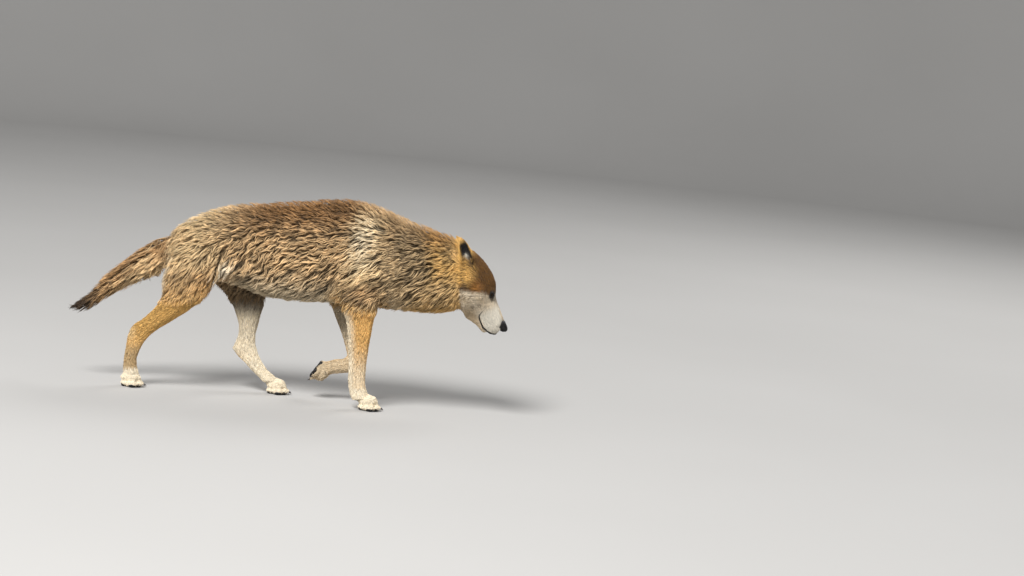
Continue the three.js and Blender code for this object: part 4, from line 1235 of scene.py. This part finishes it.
def number_pieces(mesh, body):
    """Says which coat piece each face belongs to, and unwraps the skin for each piece's map."""
    along, right = body.along, body.points[:, 1] < 0
    head = Head()
    by_ear = (body.kinds == "neck") & (read(mesh.attributes["follow"].data, "value", 1) < LOOSE_NECK)
    torso, face = (body.torso > 0) & ~by_ear, (body.on_face > 0) | by_ear
    snout = head.local(body.points)[:, 0] < MUZZLE_END
    chosen = {"tail": body.kinds == "tail", "head": face & ~snout, "muzzle": face & snout,
              "ears": body.kinds == "ear"}
    for pair in ("hind", "fore"):
        nodes = [n for side in SIDE_NAMES.values() for n in LEGS[f"{pair}_{side}"][1:]]
        chosen["legs_" + pair] = body.node(*nodes) > 0
    for name, (low, high) in TORSO_CUTS.items():
        for side, on in (("right", right), ("left", ~right)):
            chosen[f"{name}_{side}"] = torso & on & (along >= low) & (along < high)
    axes = {name: (head.back, head.up) for name in ("head", "muzzle")}
    axes |= {name: (-ALONG_Z, ALONG_X) for name in ("legs_hind", "legs_fore")}
    axes |= {"ears": (head.back, ALONG_Y), "tail": ((-0.8, 0, -0.6), ALONG_Y)}
    piece = np.zeros(len(along), np.int32)
    wrap = np.zeros((len(along), 3))
    lane = np.zeros(len(along))
    for number, (name, values) in enumerate(COAT_PIECES.items(), 1):
        on = chosen[name]
        piece[on] = number
        axis, first = axes.get(name, (-ALONG_X, ALONG_Z))
        for order, group in enumerate([on & right, on & ~right] if "Lanes" in values else [on]):
            whole = group
            if name not in axes:    # both halves of the torso are wrapped round one middle line
                whole = torso & (along >= along[on].min()) & (along <= along[on].max())
            wrap[whole & group] = wrap_of(body.points[whole], axis, first)[group[whole]]
            lane[group] = order
    write_attribute(mesh, "wrap", wrap, "FLOAT_VECTOR")
    write_attribute(mesh, "lane", lane)
    firsts = read(mesh.polygons, "loop_start", 1, np.int32)
    corner = read(mesh.loops, "vertex_index", 1, np.int32)
    mesh.attributes.new("piece", "INT", "FACE").data.foreach_set("value", piece[corner[firsts]])


class WOLF_OT_skin(Operator):
    """Makes one skin from the flesh nodes, inside them by the depth of the coat"""
    bl_idname = "wolf.skin"
    bl_label = "Skin"

    def execute(self, context):
        skin = flesh_hull(context.scene.wolf_skin)
        mesh = skin.data
        points = read(mesh.vertices, "co", 3).astype(float)
        web = Web(mesh)
        nodes = nearest_nodes(mesh)

        def spread(kind, steps):
            return web.blur((FLESH_KINDS[nodes] == kind).astype(float), steps)

        # Smoothed, sunk by the depth of the coat, and smoothed again.
        amount = web.blur(np.array([EASE[kind] for kind in FLESH_KINDS])[nodes], EASE_BLUR)
        points = web.relax(points, amount, SHAPE_STEPS)
        normals = normals_of(mesh, points)
        fields = coat_fields(Body(points, nodes), nodes, web)
        points = points - unit(web.blur(normals, NORMAL_BLUR)) * fields[:, :1]
        points = web.relax(points, amount, SUNK_STEPS)
        # Filled where the neck meets the head and the shoulder, but not round the ears.
        neck, head, ear, shoulder = (spread(kind, 14) for kind in ("neck", "head", "ear", "shoulder"))
        fold = np.clip(neck * np.maximum(head, shoulder) * 6, 0, 1) * (1 - smooth(ear, 0.0, 0.1))
        points = points + fold[:, None] * (web.blur(points, FOLD_STEPS) - points)
        points, bare = shape_face(Body(points, nodes), normals)
        points[:, 2] = np.maximum(points[:, 2], SKIN_CLEARANCE)

        even = unit(web.blur(normals_of(mesh, points), UP_BLUR))
        body = Markings(points, even, nodes).paint()
        bare = np.maximum(bare, bare_soles(body, even))
        free = np.maximum(smooth(spread("ear", 8), 0.02, 0.35),
                          np.maximum(smooth(fold, 0.05, 0.5), 0.9 * spread("tail", 6)))
        for name, values in zip(("depth", "reach", "breadth", "crimp"), fields.T):
            write_attribute(mesh, name, values)
        for name, values in (("follow", 1 - FOLLOW_LOSS * free), ("bare", bare), ("cover", 1 - bare),
                             ("smoke", body.smoke)):
            write_attribute(mesh, name, values)
        write_attribute(mesh, "tint", web.blur(body.tint, TINT_BLUR), "FLOAT_COLOR")
        write_attribute(mesh, "lie", lie_field(body, nodes, even, web), "FLOAT_VECTOR")
        write_attribute(mesh, "up", even, "FLOAT_VECTOR")
        number_pieces(mesh, body)
        mesh.shade_smooth()
        finish_piece(skin, "Skin", [n for n in FLESH if n != "nose"])
        return {"FINISHED"}


class WOLF_OT_coat(Operator):
    """Grows the coat in pieces of solid locks that follow the lie of the hair"""
    bl_idname = "wolf.coat"
    bl_label = "Coat"

    def execute(self, context):
        skin = bpy.data.objects["skin"]
        tree = coat_tree()
        for number, (name, values) in enumerate(COAT_PIECES.items(), 1):
            host = new_object("coat_" + name, skin.data.copy())
            seed = context.scene.wolf_coat.seed + number
            grow(host, tree, values | {"Piece": number, "Seed": seed, "Material": shared("Hair")})
            finish_piece(host)
        return {"FINISHED"}


def joined(name, meshes):
    """One object from several meshes."""
    thing = new_object(name, merged(name, meshes))
    thing.data.shade_smooth()
    return thing


def rings_to_mesh(name, rings, loop=False):
    """A closed skin through rings of points, whose ends are closed, or joined when loop is set."""
    count = len(rings[0])
    points = list(np.concatenate(rings))
    faces = []
    for r in range(len(rings) if loop else len(rings) - 1):
        near, far = r * count, ((r + 1) % len(rings)) * count
        faces += [(near + k, near + (k + 1) % count, far + (k + 1) % count, far + k) for k in range(count)]
    if not loop:
        for end, base in ((0, 0), (-1, (len(rings) - 1) * count)):
            points.append(rings[end].mean(0))
            faces += [(base + k, base + (k + 1) % count, len(points) - 1) for k in range(count)]
    return edited(mesh_from(name, points, faces), 1e-6, outward=True)


def tube(name, path, radii, around):
    """A closed tapering tube along a path."""
    path = np.asarray(path, float)
    onward = unit(np.gradient(path, axis=0))
    aside = unit(np.cross(onward, (0.13, 0.21, 0.97)))
    over = np.cross(aside, onward)
    turns = circle(around)
    rings = [p + r * (np.outer(np.cos(turns), a) + np.outer(np.sin(turns), o))
             for p, r, a, o in zip(path, radii, aside, over)]
    return rings_to_mesh(name, rings)


class WOLF_OT_eyes(Operator):
    """Makes the eyeballs, with a bulging cornea, and the dark rims of the eyelids"""
    bl_idname = "wolf.eyes"
    bl_label = "Eyes"

    def execute(self, context):
        pair = [Eye(side) for side in (RIGHT, LEFT)]
        balls = joined("eyes", [self.ball(eye) for eye in pair])
        finish_piece(balls, "Eye", ("eye_right", "eye_left"))
        finish_piece(joined("eyelids", [self.lid(eye) for eye in pair]), "Black hide")
        return {"FINISHED"}

    def ball(self, eye, around=32, steps=26):
        """A ball whose poles lie on the gaze, with the cornea swelling from its front."""
        turns = circle(around)
        rings = []
        for tilt in np.linspace(0.04, np.pi - 0.04, steps):
            cornea = 1 + CORNEA_SWELL * (1 - smooth(tilt, 0.0, CORNEA_EDGE))
            side = np.outer(np.cos(turns), eye.line) + np.outer(np.sin(turns), eye.over)
            rings.append(eye.centre + eye.radius * cornea * (np.cos(tilt) * eye.gaze + np.sin(tilt) * side))
        mesh = rings_to_mesh("eye", rings)
        away = unit(read(mesh.vertices, "co", 3) - eye.centre)
        write_attribute(mesh, "ring", np.arccos(np.clip(away @ eye.gaze, -1, 1)) / (np.pi / 2))
        return mesh

    def lid(self, eye, around=48):
        """The rim of both lids: a rounded lip round the almond, its outer edge sunk in the skin."""
        turns = circle(around)
        corner = 0.35 + 0.65 * np.abs(np.sin(turns)) ** 0.7
        rings = []
        for span, height in LID_RINGS:
            wider = span - 1
            long_way = np.cos(turns) * (1 + wider)
            high_way = np.sin(turns) * corner * (1 + wider) + np.sign(np.sin(turns)) * wider * 0.3
            rings.append(eye.centre + eye.radius * height * eye.direction(long_way, high_way))
        return rings_to_mesh("lid", rings, loop=True)


class WOLF_OT_nose(Operator):
    """Makes the nose with its nostrils, the black lips and the whiskers"""
    bl_idname = "wolf.nose"
    bl_label = "Nose, lips and whiskers"

    middle, halves = (13, -12.5, 0), (22, 15, 18.5)     # of the pad, back, up and out in millimetres
    lip_thick = 0.0038
    rows, row_shift = (-36, -46, -56), 3                # how high each row of whiskers stands

    def execute(self, context):
        head = Head()
        finish_piece(new_object("nose_leather", self.pad(head)), "Black hide", ("nose",))
        finish_piece(new_object("lips", self.lips(head)), "Black hide")
        whiskers = joined("whiskers", self.whiskers(head, context.scene.wolf_coat.seed))
        finish_piece(whiskers, "Horn")
        return {"FINISHED"}

    def pad(self, head, around=56, steps=44):
        """A rounded block, flattened in front, with comma nostrils and a groove down its middle."""
        turns = circle(around)
        rings = []
        for tilt in np.linspace(0.03, np.pi - 0.03, steps):
            away = np.column_stack([np.full(around, -np.cos(tilt)), np.sin(tilt) * np.sin(turns),
                                    np.sin(tilt) * np.cos(turns)])
            box = np.sign(away) * np.abs(away) ** 0.66
            back, up, out = (np.array(self.middle) + np.array(self.halves) * box).T
            out = out * (1 + 0.006 * np.clip(back, 0, 25)) * (1 - 0.3 * smooth(-up, 14, 28))
            back = back + 0.34 * np.clip(-up - 12, 0, 20) - 1.5 * smooth(up, -20, -5)
            spot = np.column_stack([back, up, np.abs(out)])
            hole = bump_at(spot, (-9, -12.5, 8.6), (9, 5.6, 5.8))
            comma = 0.9 * bump_at(spot, (-2, -16.5, 15.5), (11, 3.4, 7))
            groove = 0.2 * (1 - smooth(np.abs(out), 0.4, 2.4)) * smooth(-back, -4, 2) * smooth(-up, 8, 14)
            spot = np.column_stack([back, up, out])
            inward = 0.36 * np.clip(hole + comma, 0, 1.0) + 0.4 * groove
            spot = spot + ((14, -12.5, 0) - spot) * inward[:, None]
            rings.append(np.array([head.place(*p) for p in spot]))
        return rings_to_mesh("nose_leather", rings)

    def lips(self, head):
        """A dark rounded edge along the closed mouth, from one corner round the front to the other."""
        skin = bpy.data.objects["skin"].data
        tree = BVHTree.FromPolygons([v.co for v in skin.vertices], faces_of(skin))
        half = [np.array(p, float) for p in LIP + CREASE]
        path = [p * (1, 1, -1) for p in half[:0:-1]] + half
        share = np.linspace(0, len(path) - 1, 90)
        path = np.array([np.interp(share, range(len(path)), column) for column in np.transpose(path)]).T
        for _ in range(3):
            path[1:-1] = path[1:-1] * 0.5 + (path[:-2] + path[2:]) * 0.25
        on_skin = [np.array(tree.find_nearest(Vector(head.place(*p)))[0]) for p in path]
        radii = self.lip_thick * np.sin(np.linspace(0.05, np.pi - 0.05, len(path))) ** 0.9
        return tube("lips", on_skin, radii, around=10)

    def whiskers(self, head, seed):
        """Stiff tapering hairs in three rows on each side of the muzzle."""
        luck = np.random.default_rng(seed)
        found = []
        for side in (RIGHT, LEFT):
            for row, up in enumerate(self.rows):
                for back in np.arange(20, 52, 8) + self.row_shift * row:
                    root = head.place(back, up, side * (23 + 0.1 * back))
                    sweep = np.array([0.55 + 0.2 * luck.random(), -0.3 + 0.3 * luck.random(), side * 0.9])
                    way = unit(sweep @ np.array([head.back, head.up, ALONG_Y]))
                    length = 0.026 + 0.02 * luck.random()
                    steps = np.linspace(0, 1, 7)[:, None]
                    path = root + way * steps * length - 0.006 * ALONG_Z * steps ** 2
                    found.append(tube("whisker", path, np.linspace(0.00028, 0.00005, 7), around=5))
        return found


class WOLF_OT_feet(Operator):
    """Makes the smooth curved claws and the bare pads under the feet"""
    bl_idname = "wolf.feet"
    bl_label = "Claws and pads"

    def execute(self, context):
        names = sorted(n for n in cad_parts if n.startswith("claw"))
        claws = joined("claws", [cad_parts[n].data.copy() for n in names])
        edited(claws.data, 1e-5)
        finer = claws.modifiers.new("Finer", "SUBSURF")
        finer.levels = finer.render_levels = 2
        made_plain(claws)
        claws.data.shade_smooth()
        finish_piece(claws, "Horn", names)
        pads = joined("pads", [pad for leg, axes in foot_frames().items() for pad in self.pads(leg, *axes)])
        finish_piece(pads, "Black hide")
        return {"FINISHED"}

    def pads(self, leg, forward, up):
        """Four toe pads and the main pad of one foot, flat where they rest."""
        aside = np.cross(up, forward)
        toes = []
        for k in (1, 2, 3, 4):
            points = node_points(f"claw_{leg}_{k}")
            tip = points[np.argmax(points @ forward)]
            toes.append(tip - forward * CLAW_REACH + up * CLAW_DROP)
        sole = min(toe @ up for toe in toes) - TOE_PAD_DROP
        heel = np.mean(toes[1:3], axis=0) - forward * HEEL_BACK
        cushions = [(toe + forward * TOE_PAD_SHIFT, TOE_PAD) for toe in toes]
        cushions += [(heel + aside * shift - forward * back, halves) for shift, back, halves in HEEL_PADS]
        return [self.lump(centre, halves, forward, aside, up, sole) for centre, halves in cushions]

    def lump(self, centre, halves, forward, aside, up, sole, around=20, steps=14):
        """A soft cushion whose underside is pressed flat at the level of the sole."""
        turns = circle(around)
        centre = centre + up * (sole + halves[2] * 0.9 - centre @ up)
        rings = []
        for tilt in np.linspace(0.08, np.pi - 0.08, steps):
            wide, height = np.sin(tilt), max(np.cos(tilt) * halves[2], -halves[2] * 0.86)
            ring = np.column_stack([halves[0] * wide * np.cos(turns), halves[1] * wide * np.sin(turns),
                                    np.full(around, height)])
            rings.append(centre + ring @ np.array([forward, aside, up]))
        return rings_to_mesh("pad", rings)


# ---- The studio ----


class WOLF_OT_studio(Operator):
    """Sets the pale floor, the soft lights and the camera"""
    bl_idname = "wolf.studio"
    bl_label = "Studio"

    def execute(self, context):
        studio = context.scene.wolf_studio
        self.floor()
        for name, (place, width) in LAMPS.items():
            self.light(name, place, width, getattr(studio, name))
        world = bpy.data.worlds.new("Studio")
        context.scene.world = world
        world.use_nodes = True
        sky = world.node_tree.nodes["Background"]
        sky.inputs["Color"].default_value = SKY
        sky.inputs["Strength"].default_value = SKY_STRENGTH
        self.camera(studio)
        context.scene.view_settings.view_transform = "Standard"
        return {"FINISHED"}

    def floor(self, around=96):
        """A floor that curves up all round into a pale wall, with no edge in sight."""
        turns = circle(around)
        ring = np.column_stack([np.cos(turns), np.sin(turns), np.zeros(around)])
        level = FLOOR_RADII[-1]
        profile = [(radius, 0.0) for radius in FLOOR_RADII]
        profile += [(level + WALL_BEND * math.sin(a), WALL_BEND - WALL_BEND * math.cos(a))
                    for a in np.linspace(0, np.pi / 2, 12)]
        profile.append((level + WALL_BEND, WALL_TOP))
        rings = [ring * radius + height * ALONG_Z for radius, height in profile]
        points = [(0.0, 0.0, 0.0), *np.concatenate(rings)]
        faces = [(0, 1 + k, 1 + (k + 1) % around) for k in range(around)]
        for near in range(1, 1 + (len(rings) - 1) * around, around):
            far = near + around
            faces += [(near + k, far + k, far + (k + 1) % around, near + (k + 1) % around)
                      for k in range(around)]
        floor = new_object("floor", mesh_from("floor", points, faces))
        floor.data.materials.append(shared("Pale floor"))

    def light(self, name, place, width, power):
        """A round soft lamp that shines at the wolf's middle."""
        lamp = bpy.data.lights.new(name, "AREA")
        lamp.shape = "DISK"
        lamp.size = width
        lamp.energy = power
        thing = new_object(name, lamp)
        thing.location = place
        thing.rotation_euler = (Vector(LAMP_AIM) - Vector(place)).to_track_quat("-Z", "Y").to_euler()

    def camera(self, studio):
        """The camera looks along +Y and down, and leans by its roll."""
        data = bpy.data.cameras.new("camera")
        data.lens, data.sensor_width, data.clip_end = studio.lens, SENSOR_WIDTH, SIGHT
        camera = new_object("camera", data)
        sine, cosine = math.sin(studio.elevation), math.cos(studio.elevation)
        ahead, level, over = Vector((0, cosine, -sine)), Vector((1, 0, 0)), Vector((0, sine, cosine))
        sine, cosine = math.sin(studio.roll), math.cos(studio.roll)
        right, up = cosine * level + sine * over, cosine * over - sine * level
        turned = Matrix((right, up, -ahead)).transposed().to_4x4()
        camera.matrix_world = Matrix.Translation(Vector(studio.target) - ahead * studio.distance) @ turned
        bpy.context.scene.camera = camera


class WOLF_PT_panel(Panel):
    """Lists the wolf's steps and sizes in the sidebar"""
    bl_idname = "WOLF_PT_panel"
    bl_label = "Walking wolf"
    bl_space_type = "VIEW_3D"
    bl_region_type = "UI"
    bl_category = "Wolf"

    def draw(self, context):
        for step in STEPS:
            self.layout.operator(step.bl_idname)
        for name in GROUPS:
            box = self.layout.box()
            settings = getattr(context.scene, name)
            for key in settings.bl_rna.properties.keys():
                if key not in ("rna_type", "name"):
                    box.prop(settings, key)


GROUPS = {"wolf_skin": WolfSkinSizes, "wolf_coat": WolfCoatSizes, "wolf_colours": WolfColours,
          "wolf_studio": WolfStudio}
STEPS = (WOLF_OT_studio, WOLF_OT_skin, WOLF_OT_eyes, WOLF_OT_nose, WOLF_OT_feet, WOLF_OT_coat)


def register():
    for kind in (*GROUPS.values(), *STEPS, WOLF_PT_panel):
        bpy.utils.register_class(kind)
    for name, kind in GROUPS.items():
        setattr(bpy.types.Scene, name, PointerProperty(type=kind))


def unregister():
    for name in GROUPS:
        delattr(bpy.types.Scene, name)
    for kind in (WOLF_PT_panel, *STEPS[::-1], *reversed(GROUPS.values())):
        bpy.utils.unregister_class(kind)


def main():
    register()
    bpy.ops.wolf.studio()
    bpy.ops.wolf.skin()
    bpy.ops.wolf.eyes()
    bpy.ops.wolf.nose()
    bpy.ops.wolf.feet()
    bpy.ops.wolf.coat()


if __name__ == "__main__":
    main()
